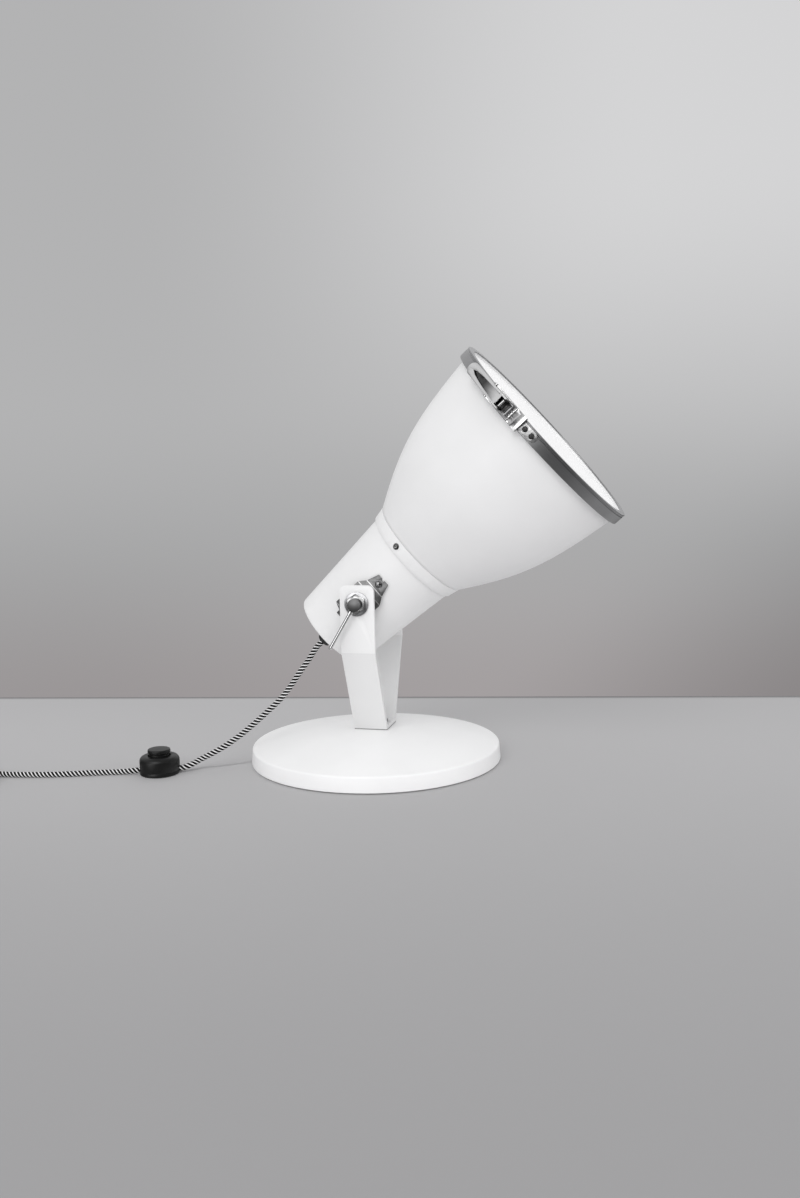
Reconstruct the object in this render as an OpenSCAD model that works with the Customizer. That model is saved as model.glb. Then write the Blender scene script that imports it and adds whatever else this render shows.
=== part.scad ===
// Uplighter: a bell shade with an opal glass, on a conical housing that tilts in a stirrup
// over a weighted round base. A textile cord runs from the rear of the housing to an
// in-line foot switch, and on to a coil with its plug.
// Millimetres, +Z up. The origin is on the floor under the middle of the base.
// The tilt axis lies along Y and the head points to +X and up.

/* [Base] */
// Diameter of the base at the floor
base_d = 300; // [260:1:340]
// Height of the outer wall
base_edge = 20; // [17:0.5:26]
// Rise of the domed top above the wall
base_rise = 20; // [14:0.5:24]
// How far the wall flares from its top to its foot
base_draft = 1.3; // [0.5:0.1:3]
// Rounding between wall and top
base_round = 2.5; // [1:0.1:4]
// Sheet thickness of the shell
shell_t = 2.5; // [2:0.1:3.5]
// Height of the shell's lower edge above the floor
shell_lift = 1.5; // [0.5:0.1:1.9]
// Thickness of the rubber pad
pad_t = 3; // [2:0.1:4]
// Thickness of the iron weight's disc
weight_t = 12; // [10:0.5:13]

/* [Stirrup] */
// Width of the flat bar
strap_w = 40; // [36:1:46]
// Thickness of the flat bar
strap_t = 5; // [4:0.1:6]
// Length of the foot over its bends
foot_len = 42; // [38:1:60]
// Height of the upper bend above the base
bend_h = 100; // [90:1:120]
// Height of the tilt axis above the upper bend
pivot_h = 57; // [50:1:70]
// Bar left above the tilt axis
strap_end = 21; // [18:0.5:26]
// Corner radius at the top of the bar
strap_corner = 7; // [4:0.5:12]
// Distance of each foot bolt from the middle
bolt_x = 10; // [8:0.5:12]
// Thread diameter of the foot bolts
bolt_d = 6; // [5:0.5:8]

/* [Tilt pivot] */
// Diameter of the studs
stud_d = 10; // [8:0.5:12]
// Diameter of the stud heads
stud_head_d = 16; // [14:0.5:20]
// Thickness of the stud heads
stud_head_t = 2.8; // [2.2:0.1:3.6]
// Sheet thickness of the brackets
bracket_t = 2; // [1.5:0.1:3]
// Length of a bracket's raised middle in front of the pivot
bracket_top = 17; // [15.5:0.5:19]
// Length of a bracket's raised middle behind the pivot
bracket_back = 18.2; // [16:0.1:20]
// Distance from the pivot to where the tab starts
bracket_bend = 25; // [23:0.5:28]
// Distance from the pivot to the end of the tab
bracket_end = 40; // [38:0.5:46]
// Half width of the raised middle
bracket_wide = 18.5; // [17:0.5:22]
// Half width of the tab at its bend
tab_wide = 12.6; // [10:0.2:15]
// Half width of the tab at its end
tab_end = 8; // [7:0.2:10]
// Half width of the tongue behind the raised middle
tongue_wide = 9.6; // [8:0.2:12]
// Distance from the pivot to where the tongue lies on the housing
tongue_bend = 23.5; // [21.5:0.5:23.5]
// Distance from the pivot to the end of the tongue
tongue_end = 28.5; // [28.5:0.5:32]
// Diameter of the friction washers
friction_d = 26; // [22:0.5:27]
// Thickness of the friction washers
friction_t = 1; // [0.8:0.1:2]
// Diameter of the outer washers
washer_d = 28; // [24:0.5:34]
// Thickness of the outer washers
washer_t = 2; // [1.5:0.1:3]
// Width across flats of the clamp nut
nut_flats = 21; // [19:0.5:23]
// Height of the clamp nut's hexagon
nut_hex = 3.5; // [3:0.1:5]
// Diameter of the clamp nut's barrel
barrel_d = 15; // [14:0.5:18]
// Length of the clamp nut's barrel
barrel_len = 6.5; // [6:0.1:9]
// Diameter of the clamp bar
bar_d = 4; // [3:0.1:5]
// Reach of the clamp bar from the stud's axis
bar_reach = 60; // [45:1:75]
// Direction of the clamp bar, from +X towards +Z
bar_turn = 239; // [200:0.5:300]

/* [Housing] */
// Tilt of the head above level at rest
tilt = 41.6; // [30:0.1:60]
// Height of the head's axis above the tilt axis
axis_rise = 2; // [0:0.1:3]
// Diameter at the rear
rear_d = 99.2; // [94:0.2:106]
// Length behind the tilt axis
rear_len = 64.5; // [60:0.5:70]
// Length in front of the tilt axis
front_len = 70; // [66:0.5:80]
// Growth of the radius for each millimetre of length
housing_taper = 0.079; // [0.06:0.001:0.1]
// Wall thickness
housing_wall = 2.5; // [2:0.1:3]
// Rounding of the rear edge
rear_round = 2.5; // [1.5:0.1:4]
// Length of the collar
collar_len = 14.7; // [12:0.1:18]
// Height of the collar's step above the housing
collar_step = 2.4; // [1.5:0.1:3]
// Depth that the housing's neck is turned down inside the collar
neck_step = 1.6; // [1:0.1:2]
// Place of the collar's first screw, from the head's upper side
collar_screw_turn = 76; // [60:1:90]
// Diameter of the collar's screws
collar_screw_d = 4; // [3:0.5:4]

/* [Lampholder] */
// Thickness of the carrier plate
plate_t = 2; // [1.5:0.1:3]
// Diameter of the socket
socket_d = 46; // [42:1:52]
// Length of the socket
socket_len = 44; // [40:1:52]
// Diameter of the lamp cap
cap_d = 26.4; // [24:0.1:28]
// Depth of the lamp cap in the socket
cap_len = 28; // [24:0.5:30]
// Diameter of the bulb
bulb_d = 60; // [50:1:70]
// Diameter of the threaded tube behind the plate
nipple_d = 13; // [11:0.5:16]
// Length of the threaded tube behind the plate
nipple_len = 10; // [8:0.5:14]

/* [Shade and rim] */
// Diameter of the shade at the collar
neck_d = 130.6; // [128:0.2:136]
// Length of the bell from the collar to its flange
shade_len = 183.2; // [160:0.2:210]
// Diameter of the bell at its mouth
mouth_d = 242; // [225:0.5:260]
// Rise of the bell's outline for each millimetre at the neck
neck_slope = 0.57; // [0.45:0.01:0.7]
// Length over which the neck's slope pulls the outline
neck_pull = 64; // [50:1:75]
// Rise of the bell's outline for each millimetre at the mouth
mouth_slope = 0.103; // [0.05:0.001:0.2]
// Length over which the mouth's slope pulls the outline
mouth_pull = 90; // [70:1:100]
// Sheet thickness of the shade
shade_wall = 1.6; // [1.2:0.1:2]
// Width of the flange at the mouth
flange_w = 4.2; // [4:0.1:6]
// Inner diameter of the flange at the neck
neck_bore = 104; // [98:1:110]
// Thickness of the glass
glass_t = 4.6; // [4:0.1:6]
// Thickness of the gasket in front of and behind the glass
gasket_leg = 2.2; // [1.8:0.1:3]
// Thickness of the gasket round the glass
gasket_wall = 3; // [2.5:0.1:3.5]
// Sheet thickness of the clamp band
band_t = 1.6; // [1.2:0.1:2]
// Inner diameter of the band's front lip
lip_d = 237.6; // [232:0.2:239]

/* [Latch] */
// Place of the lever's pin round the rim, from the head's upper side
lever_turn = 72; // [66:0.5:74]
// Height of the lever's pin above the band
lever_pin_h = 7.6; // [7:0.1:9]
// Diameter of the latch pins
latch_pin_d = 3; // [2.5:0.1:3.5]
// Lean of the lever towards the rim
lever_lean = 13; // [10:0.5:14]
// Length of the lever beyond its pin
lever_len = 62; // [56:0.5:64]
// Distance between the lever's pin and the loop's pin
loop_arm = 22; // [20:0.5:23]
// Sheet thickness of the latch
latch_t = 1.3; // [1:0.1:1.5]
// Half width of the latch's base between the lever's sides
latch_half = 5.4; // [5:0.1:5.6]
// Height of the lever's rim above its pin
lever_rim = 4.2; // [3.5:0.1:5]
// Width of the loop's rails
rail_t = 1.6; // [1.2:0.1:2]
// Height of the loop's rails
rail_h = 3.6; // [3:0.1:4]
// Place of the catch's upright lip round the rim
catch_turn = 83; // [82:0.5:86]
// Height of the catch's upright lip
catch_h = 4.5; // [4.2:0.1:4.8]
// Length of the catch's plate round the rim, in degrees
catch_span = 11.5; // [10:0.5:14]
// Opening between the ends of the band, in degrees
band_gap_span = 6; // [4:0.5:8]

/* [Cord and switch] */
// Diameter of the cord
cord_d = 6.4; // [6:0.1:7]
// Diameter of the grommet's flanges
grommet_d = 16; // [14:0.5:17]
// Thickness of the grommet's outer flange
grommet_t = 5; // [3:0.1:6]
// Diameter of the foot switch
switch_d = 46.4; // [45:0.2:52]
// Height of the switch body
switch_h = 22; // [20:0.5:24]
// Diameter of the button
button_d = 26.5; // [24:0.5:28]
// Height of the button's top above the floor
button_top = 30.2; // [29:0.2:33]
// Wall of the switch body
switch_wall = 2; // [1.8:0.1:2.5]
// Diameter of the plug
plug_d = 35; // [32:0.5:40]
// Length of the plug's body
plug_len = 42; // [36:0.5:50]
// Turns in each layer of the coil
coil_turns = 2.5; // [1.5:1:3.5]
// Least radius of the coil
coil_inner = 29; // [26:0.5:34]

/* [Hidden] */
$fn = 96;

// Colours as the lamp shows them
WHITE = "#f2f2f0";
STEEL = "#b9bcc0";
DARK_STEEL = "#6f7275";
BLACK = "#1b1b1d";
IRON = "#3c3d3f";
PALE = "#e6e6e2";

// Clearances
run_fit = 0.05;      // radial, between a stud or pin and the bore that turns on it
slip_fit = 0.1;      // radial, between pieces that are pushed together
face_play = 0.05;    // between flat faces that slide
hole_play = 0.2;     // radial, of a screw in its clearance hole
side_play = 0.3;     // between the sides of moving latch pieces

// Base
base_r = base_d/2;
base_top = base_edge + base_rise;
foot_flat = norm([foot_len, strap_w])/2 + 3;
dome_edge = base_r - base_draft - base_round;
boss_r = foot_flat - 2;
pocket_h = 8;
pocket_d = 2.8*bolt_d;
bolt_flats = 1.65*bolt_d;
bolt_washer_t = 1.2;

// Stirrup, whose span follows the pieces between housing and arm
function housing_r(s) = rear_d/2 + (s + rear_len)*housing_taper;
head_room = 0.27 + stud_head_d/2*housing_taper;
bracket_in = housing_r(0) + head_room + stud_head_t;
bracket_out = bracket_in + face_play + bracket_t;
strap_in = bracket_out + friction_t + face_play;
strap_out = strap_in + strap_t;
foot_z = base_top;
bend_z = foot_z + bend_h;
pivot_z = bend_z + pivot_h;
strap_top = pivot_z + strap_end;
splay = atan2(strap_out - foot_len/2, bend_h);
nut_face = strap_out + washer_t + face_play;
nut_len = nut_hex + barrel_len;
stud_end = nut_face + nut_len - 1.6;
bar_z = nut_face + nut_hex + barrel_len/2;

// Head, measured along its axis from the tilt axis
collar_front = front_len + collar_len;
housing_front_r = housing_r(front_len);
neck_r = housing_front_r - neck_step;
collar_bore = neck_r + slip_fit;
neck_end = collar_front - plate_t - slip_fit;
plate_r = collar_bore - slip_fit;
collar_rear_r = housing_front_r + collar_step;
collar_front_r = neck_d/2;
collar_seat_r = (collar_rear_r + collar_front_r)/2 - 0.9;
collar_mid = front_len + collar_len/2;
screw_head_d = 1.8*collar_screw_d;
shade_screw_d = 3;
shade_screw_r = (collar_bore + collar_front_r)/2 - 0.4;
tab_screw_d = 4;
tab_screw_s = (bracket_bend + bracket_end)/2;
bracket_fold = 0.9;
tongue_rivet_d = 2.4;
tongue_rivet_s = -(tongue_bend + bracket_fold + tongue_end)/2;
taper_angle = atan(housing_taper);
grommet_down = 4.5;
grommet_near = 38;
grommet_neck_d = grommet_d - 3;
grommet_face = -rear_len - grommet_t;

// Rim: the flange goes out as far as the mouth and the glass behind the lip need
mouth_r = mouth_d/2;
shade_mouth = collar_front + shade_len;
lip_r = lip_d/2;
glass_hold = 1.5;
flange_r = max(mouth_r + flange_w, lip_r + glass_hold + gasket_wall);
gasket_rear = shade_mouth + shade_wall;
glass_rear = gasket_rear + gasket_leg;
glass_front = glass_rear + glass_t;
gasket_front = glass_front + gasket_leg;
glass_r = flange_r - gasket_wall;
band_in = flange_r + slip_fit;
band_r = band_in + band_t;
band_rear = shade_mouth - face_play - band_t;
band_front = gasket_front + face_play + band_t;
rim_mid = (band_rear + band_front)/2;
band_half = (band_front - band_rear)/2;

// Latch
latch_seat = band_r + face_play;
plate_out = latch_seat + latch_t;
pin_r = band_r + lever_pin_h;
lever_in = latch_half + side_play;
lever_out = lever_in + latch_t;
rail_in = max(lever_out, band_half) + side_play;
rail_out = rail_in + rail_t;
loop_drop = 1;
loop_pin_x = pin_r - loop_arm*sin(lever_lean) - loop_drop*cos(lever_lean);
loop_pin_y = -loop_arm*cos(lever_lean) + loop_drop*sin(lever_lean);
loop_pin_turn = lever_turn + atan2(loop_pin_y, loop_pin_x);
loop_pin_r = norm([loop_pin_x, loop_pin_y]);
hook_d = 2.6;
hook_play = 0.9;
hook_r = plate_out + 1.4 + hook_d/2;
hook_turn = catch_turn + (latch_t + hook_play + hook_d/2)/hook_r*180/PI;
loop_mid = (loop_pin_turn + hook_turn)/2;
loop_x1 = loop_pin_r*cos(loop_pin_turn - loop_mid);
loop_y1 = loop_pin_r*sin(loop_pin_turn - loop_mid);
loop_x2 = hook_r*cos(hook_turn - loop_mid);
loop_y2 = hook_r*sin(hook_turn - loop_mid);
rivet_d = 4;
rivet_head_d = 6;
rivet_head_t = 0.9;
rivet_in = 9.6;
rivet_pitch = 9.8;
function rim_turn(length) = length/plate_out*180/PI;
catch_rivets = [for (k = [0, 1]) catch_turn + rim_turn(rivet_in + k*rivet_pitch)];
base_rivet_in = loop_arm + 9.2;
base_len = base_rivet_in + 14.6;
base_start = lever_turn - rim_turn(base_len);
base_rivets = [for (k = [0, 1]) lever_turn - rim_turn(base_rivet_in + k*rivet_pitch)];

// Foot switch
switch_x = -234.2;
switch_y = -108;
switch_turn = 20;
switch_split = 5;
switch_r = switch_d/2;
cavity_r = switch_r - switch_wall - 0.4;
core_half = 17;
core_y = 10;
core_top = 9;
ceiling = switch_h - switch_wall;
button_stroke = 4;
button_flange_t = 2;
button_rest = ceiling - slip_fit - button_flange_t;
button_bore_r = 9;
button_crown = 3.5;
button_cap = 5.4;
button_neck = 1.4;
switch_screw_d = 3;
switch_post_r = switch_screw_d/2 + 1.4;
switch_post_y = cavity_r - switch_post_r + 0.3;
button_flange_r = switch_post_y - switch_post_r - side_play;

// Cord routes, in round numbers along the floor and through the air
cord_floor = cord_d/2 + 0.1;
tie_t = 1;
coil_low = cord_d/2 + tie_t + 0.4;
coil_step = cord_d + 0.8;
coil_x = -456;
coil_y = -202.5;
coil_outer = coil_inner + coil_turns*coil_step;
coil_rings = 24;
coil_start_x = coil_x + 16;
coil_side_y = coil_y + coil_outer;
plug_x = coil_x - 58;
plug_r = plug_d/2;
pin_d = 4.8;
pin_len = 19;
pin_half = 9.5;

// Sweeping of round tubes along points
function unit(v) = v/norm(v);
function along(p, i) = unit(p[min(i + 1, len(p) - 1)] - p[max(i - 1, 0)]);
function tube_ring(c, t, ref, r, n) =
    let (u = unit(cross(t, ref)), v = cross(u, t))
    [for (k = [0:n - 1]) c + r*cos(360*k/n)*u + r*sin(360*k/n)*v];
function band_faces(i, n) =
    [for (k = [0:n - 1]) each [
        [i*n + k, i*n + (k + 1)%n, (i + 1)*n + (k + 1)%n],
        [i*n + k, (i + 1)*n + (k + 1)%n, (i + 1)*n + k]]];
module tube(p, d, n, ref) {
    m = len(p);
    points = [for (i = [0:m - 1]) each tube_ring(p[i], along(p, i), ref, d/2, n)];
    sides = [for (i = [0:m - 2]) each band_faces(i, n)];
    first = [for (k = [1:n - 2]) [0, k + 1, k]];
    last = [for (k = [1:n - 2]) [(m - 1)*n, (m - 1)*n + k, (m - 1)*n + k + 1]];
    polyhedron(points = points, faces = concat(first, sides, last));
}

// Places
module head() {
    translate([0, 0, pivot_z]) rotate([0, 90 - tilt, 0]) translate([-axis_rise, 0, 0]) children();
}
module outward(side) {
    translate([0, 0, pivot_z]) rotate([90*side, 0, 0]) children();
}
module on_side(side) {
    mirror([0, side < 0 ? 1 : 0, 0]) children();
}
// Radial +X, round the rim +Y, along the head's axis +Z
module at_rim(turn, s) {
    head() translate([0, 0, s]) rotate([0, 0, 180 + turn]) children();
}
module at_switch() {
    translate([switch_x, switch_y, 0]) rotate([0, 0, switch_turn]) children();
}
module at_plug() {
    translate([plug_x, coil_side_y, plug_r]) rotate([0, -90, 0]) children();
}
// A point of the head's own frame in the lamp's frame
function head_point(x, y, s) = [
    s*cos(tilt) + (x - axis_rise)*sin(tilt),
    y,
    pivot_z + s*sin(tilt) - (x - axis_rise)*cos(tilt)];

// Repeated shapes
module ring(outer, bore, h) {
    difference() {
        cylinder(r = outer, h = h);
        translate([0, 0, -1]) cylinder(r = bore, h = h + 2);
    }
}
module hex(flats, h) {
    cylinder(d = flats/cos(30), h = h, $fn = 6);
}
// A screw with its head's seat at z = 0 and its shank below
module dome_screw(d, shank, head_d, head_h) {
    difference() {
        union() {
            translate([0, 0, -shank]) cylinder(d = d, h = shank + 0.01);
            rotate_extrude() polygon([[0, 0], [head_d/2, 0], [head_d/2, 0.35*head_h],
                [0.36*head_d, 0.8*head_h], [0.2*head_d, head_h], [0, head_h]]);
        }
        translate([-head_d, -0.08*head_d, 0.6*head_h]) cube([2*head_d, 0.16*head_d, head_h]);
    }
}
// A piece of the ring round the head's axis between two places on the rim
module rim_arc(from, to, inner, outer, half) {
    head() translate([0, 0, rim_mid]) rotate([0, 0, 180 + from])
        rotate_extrude(angle = to - from)
            translate([inner, -half]) square([outer - inner, 2*half]);
}
function arc(cx, cy, r, from, to, n) =
    [for (i = [0:n]) [cx + r*cos(from + (to - from)*i/n), cy + r*sin(from + (to - from)*i/n)]];

// Base
function dome_z(r) = base_top - base_rise*pow(max(r - foot_flat, 0)/(dome_edge - foot_flat), 1.5);
dome_steps = 9;
dome_radii = [for (i = [0:dome_steps]) foot_flat + (dome_edge - foot_flat)*i/dome_steps];

module bolt_holes(from, to, d) {
    for (x = [-bolt_x, bolt_x]) translate([x, 0, from]) cylinder(d = d, h = to - from);
}
module base_shell() {
    outer = concat(
        [[0, base_top]],
        [for (r = dome_radii) [r, dome_z(r)]],
        arc(dome_edge, base_edge - base_round, base_round, 60, 0, 4),
        [[base_r, shell_lift]]);
    inner = concat(
        [[base_r - shell_t, shell_lift], [base_r - base_draft - shell_t, base_edge - base_round - shell_t]],
        [for (i = [dome_steps:-1:0]) [dome_radii[i] - 1, dome_z(dome_radii[i]) - shell_t]],
        [[0, base_top - shell_t]]);
    color(WHITE) difference() {
        rotate_extrude($fn = 128) polygon(concat(outer, inner));
        bolt_holes(base_top - shell_t - 1, base_top + 1, bolt_d + 2*hole_play);
    }
}
module base_weight() {
    disc_r = base_r - base_draft - shell_t - 4;
    color(IRON) difference() {
        union() {
            translate([0, 0, pad_t]) cylinder(r = disc_r, h = weight_t);
            translate([0, 0, pad_t]) cylinder(r = boss_r - 1, h = base_top - shell_t - pad_t);
        }
        bolt_holes(pad_t - 1, base_top, bolt_d + 2*hole_play);
        bolt_holes(pad_t - 1, pad_t + pocket_h, pocket_d);
    }
}
module base_pad() {
    color(BLACK) cylinder(r = base_r - base_draft - shell_t - 2, h = pad_t);
}

// Stirrup
module stirrup() {
    half = foot_len/2;
    fold = tan((90 - splay)/2)*strap_t;
    bend = tan(splay/2)*strap_t;
    outline = [[-strap_out, strap_top], [-strap_out, bend_z], [-half, foot_z], [half, foot_z],
        [strap_out, bend_z], [strap_out, strap_top], [strap_in, strap_top], [strap_in, bend_z + bend],
        [half - fold, foot_z + strap_t], [fold - half, foot_z + strap_t], [-strap_in, bend_z + bend],
        [-strap_in, strap_top]];
    color(WHITE) difference() {
        intersection() {
            rotate([90, 0, 90]) linear_extrude(height = strap_w, center = true) polygon(outline);
            rotate([90, 0, 0]) linear_extrude(height = 3*strap_out, center = true) union() {
                translate([-strap_w/2, 0]) square([strap_w, strap_top - strap_corner]);
                translate([strap_corner - strap_w/2, 0]) square([strap_w - 2*strap_corner, strap_top]);
                for (x = [-1, 1]) translate([x*(strap_w/2 - strap_corner), strap_top - strap_corner])
                    circle(r = strap_corner);
            }
        }
        for (side = [1, -1]) outward(side) translate([0, 0, strap_in - 1])
            cylinder(r = stud_d/2 + run_fit, h = strap_t + 2);
        bolt_holes(foot_z - 1, foot_z + strap_t + 1, bolt_d + 2*hole_play);
    }
}
module stirrup_bolts() {
    color(STEEL) for (x = [-bolt_x, bolt_x]) translate([x, 0, 0]) {
        translate([0, 0, foot_z + strap_t]) hex(bolt_flats, 0.65*bolt_d);
        translate([0, 0, pad_t + 1]) cylinder(d = bolt_d, h = foot_z + strap_t - pad_t - 0.99);
    }
}
module stirrup_nuts() {
    top = pad_t + pocket_h;
    color(STEEL) for (x = [-bolt_x, bolt_x]) translate([x, 0, 0]) difference() {
        union() {
            translate([0, 0, top - bolt_washer_t]) cylinder(d = pocket_d - 1.5, h = bolt_washer_t);
            translate([0, 0, top - bolt_washer_t - 0.8*bolt_d]) hex(bolt_flats, 0.8*bolt_d);
        }
        translate([0, 0, pad_t]) cylinder(d = bolt_d + 2*run_fit, h = pocket_h + 1);
    }
}

// Tilt pivot
module pivot_washers() {
    color(STEEL) for (side = [1, -1]) outward(side) translate([0, 0, strap_out])
        ring(washer_d/2, stud_d/2 + run_fit, washer_t);
}
module pivot_studs() {
    color(STEEL) for (side = [1, -1]) outward(side) {
        translate([0, 0, bracket_in - stud_head_t]) cylinder(d = stud_head_d, h = stud_head_t);
        translate([0, 0, bracket_in - 0.01]) cylinder(d = stud_d, h = stud_end - bracket_in + 0.01);
    }
}
module friction_washers() {
    color(DARK_STEEL) for (side = [1, -1]) outward(side) translate([0, 0, bracket_out])
        ring(friction_d/2, stud_d/2 + slip_fit, friction_t);
}
module far_nut() {
    color(STEEL) outward(-1) translate([0, 0, nut_face]) difference() {
        hex(nut_flats - 1, stud_d - 2);
        translate([0, 0, -1]) cylinder(r = stud_d/2 + run_fit, h = stud_d + 2);
    }
}
module lock_nut() {
    color(DARK_STEEL) outward(1) difference() {
        union() {
            translate([0, 0, nut_face]) rotate([0, 0, 30]) hex(nut_flats, nut_hex);
            translate([0, 0, nut_face]) cylinder(d = barrel_d, h = nut_len);
        }
        translate([0, 0, nut_face - 1]) cylinder(r = stud_d/2 + run_fit, h = stud_end - nut_face + 1.3);
        translate([0, 0, bar_z]) rotate([0, 0, bar_turn]) rotate([0, 90, 0])
            translate([0, 0, stud_d/2 + 1.2]) cylinder(r = bar_d/2 + run_fit, h = barrel_d);
    }
}
module lock_bar() {
    root = stud_d/2 + 1.2;
    sleeve = barrel_d/2 + 0.3;
    color(STEEL) outward(1) translate([0, 0, bar_z]) rotate([0, 0, bar_turn]) rotate([0, 90, 0])
        rotate_extrude($fn = 48) polygon(concat(
            [[0, root], [bar_d/2, root], [bar_d/2, sleeve], [bar_d/2 + 0.9, sleeve + 0.4],
                [bar_d/2 + 0.9, sleeve + 4], [bar_d/2, sleeve + 4.4]],
            arc(0, bar_reach - bar_d/2, bar_d/2, 0, 90, 6)));
}

// Housing and its brackets
module collar_turns() {
    for (k = [0:2]) rotate([0, 0, 180 + collar_screw_turn + 120*k]) rotate([0, 90, 0]) children();
}
module on_housing(side, s) {
    on_side(side) translate([axis_rise, -housing_r(s), s]) rotate([90 + taper_angle, 0, 0]) children();
}
module housing() {
    rear_r = rear_d/2;
    profile = concat(
        [[0, -rear_len]],
        arc(rear_r - rear_round, rear_round - rear_len, rear_round, -90, 0, 6),
        [[housing_front_r, front_len], [neck_r, front_len], [neck_r, neck_end],
            [neck_r - housing_wall, neck_end], [neck_r - housing_wall, front_len - 3],
            [rear_r - housing_wall, rear_round - rear_len],
            [rear_r - rear_round, housing_wall - rear_len], [0, housing_wall - rear_len]]);
    color(WHITE) head() difference() {
        rotate_extrude($fn = 128) polygon(profile);
        translate([grommet_down, -grommet_near, -rear_len - 1])
            cylinder(r = grommet_neck_d/2 + slip_fit, h = housing_wall + 2);
        for (side = [1, -1]) {
            on_housing(side, tab_screw_s) translate([0, 0, -10])
                cylinder(d = tab_screw_d + 2*run_fit, h = 20);
            on_housing(side, tongue_rivet_s) translate([0, 0, -10])
                cylinder(d = tongue_rivet_d + 2*run_fit, h = 20);
        }
        translate([0, 0, collar_mid]) collar_turns() translate([0, 0, neck_r - 10])
            cylinder(d = collar_screw_d + 2*run_fit, h = 20);
    }
}
module bracket(side) {
    fold = bracket_fold;
    section = [
        [-tongue_end, housing_r(-tongue_end)], [-tongue_bend, housing_r(-tongue_bend)],
        [-bracket_back, bracket_in], [bracket_top, bracket_in],
        [bracket_bend, housing_r(bracket_bend)], [bracket_end, housing_r(bracket_end)],
        [bracket_end, housing_r(bracket_end) + bracket_t],
        [bracket_bend + fold, housing_r(bracket_bend + fold) + bracket_t],
        [bracket_top + fold, bracket_in + bracket_t], [-bracket_back - fold, bracket_in + bracket_t],
        [-tongue_bend - fold, housing_r(-tongue_bend - fold) + bracket_t],
        [-tongue_end, housing_r(-tongue_end) + bracket_t]];
    upper = [[-tongue_end, tongue_wide], [-tongue_bend, tongue_wide], [-bracket_back, bracket_wide],
        [bracket_top, bracket_wide], [bracket_bend, tab_wide], [bracket_end, tab_end]];
    outline = concat(upper, [for (i = [len(upper) - 1:-1:0]) [upper[i][0], -upper[i][1]]]);
    color(DARK_STEEL) head() on_side(side) difference() {
        intersection() {
            translate([axis_rise, -face_play, 0]) rotate(180, [1, 0, 1])
                linear_extrude(height = 3*bracket_wide, center = true) polygon(section);
            translate([axis_rise, 0, 0]) rotate(240, [1, 1, 1])
                linear_extrude(height = 4*bracket_out, center = true) polygon(outline);
        }
        translate([axis_rise, 0, 0]) rotate([90, 0, 0]) cylinder(r = stud_d/2 + slip_fit, h = 2*bracket_out);
        translate([axis_rise, 0, bracket_end]) rotate([90, 0, 0]) cylinder(d = 4, h = 2*bracket_out);
        on_housing(1, tab_screw_s) cylinder(d = tab_screw_d + 2*hole_play, h = 20, center = true);
        on_housing(1, tongue_rivet_s) cylinder(d = tongue_rivet_d + 2*run_fit, h = 20, center = true);
    }
}
module bracket_near() { bracket(1); }
module bracket_far() { bracket(-1); }
module bracket_screws() {
    color(STEEL) head() for (side = [1, -1]) on_housing(side, tab_screw_s)
        translate([0, 0, bracket_t + 0.1]) dome_screw(tab_screw_d, bracket_t + housing_wall + 3, 7.6, 2.6);
}
module bracket_rivets() {
    color(DARK_STEEL) head() for (side = [1, -1]) on_housing(side, tongue_rivet_s) {
        translate([0, 0, -housing_wall - 1]) cylinder(d = tongue_rivet_d, h = housing_wall + bracket_t + 1.2);
        translate([0, 0, bracket_t + 0.1]) cylinder(d = 1.5*tongue_rivet_d, h = 0.9);
    }
}
module grommet() {
    flange = grommet_d/2;
    neck = grommet_neck_d/2;
    bore = cord_d/2 + slip_fit;
    inside = housing_wall - rear_len;
    color(BLACK) head() translate([grommet_down, -grommet_near, 0]) rotate_extrude() polygon([
        [bore, grommet_face], [flange - 1, grommet_face], [flange, grommet_face + 1],
        [flange, -rear_len], [neck, -rear_len], [neck, inside], [flange - 0.8, inside],
        [neck, inside + 2], [bore, inside + 2]]);
}
module collar() {
    color(WHITE) head() difference() {
        rotate_extrude($fn = 128) polygon([[collar_bore, front_len + face_play],
            [collar_rear_r - 0.5, front_len + face_play], [collar_rear_r, front_len + 0.6],
            [collar_front_r - 0.1, collar_front - 0.8], [collar_front_r - 0.6, collar_front],
            [collar_bore, collar_front]]);
        translate([0, 0, collar_mid]) collar_turns() {
            translate([0, 0, neck_r - 2]) cylinder(d = collar_screw_d + 2*hole_play, h = 20);
            translate([0, 0, collar_seat_r]) cylinder(d = screw_head_d + 2*hole_play, h = 20);
        }
        for (k = [0:2]) rotate([0, 0, 60 + 120*k]) translate([shade_screw_r, 0, collar_front - 8])
            cylinder(d = shade_screw_d + 2*run_fit, h = 20);
    }
}
module collar_screws() {
    shank = collar_seat_r - neck_r + housing_wall + 1;
    color(STEEL) head() translate([0, 0, collar_mid]) collar_turns() translate([0, 0, collar_seat_r])
        dome_screw(collar_screw_d, shank, screw_head_d, 2.4);
}

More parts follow.
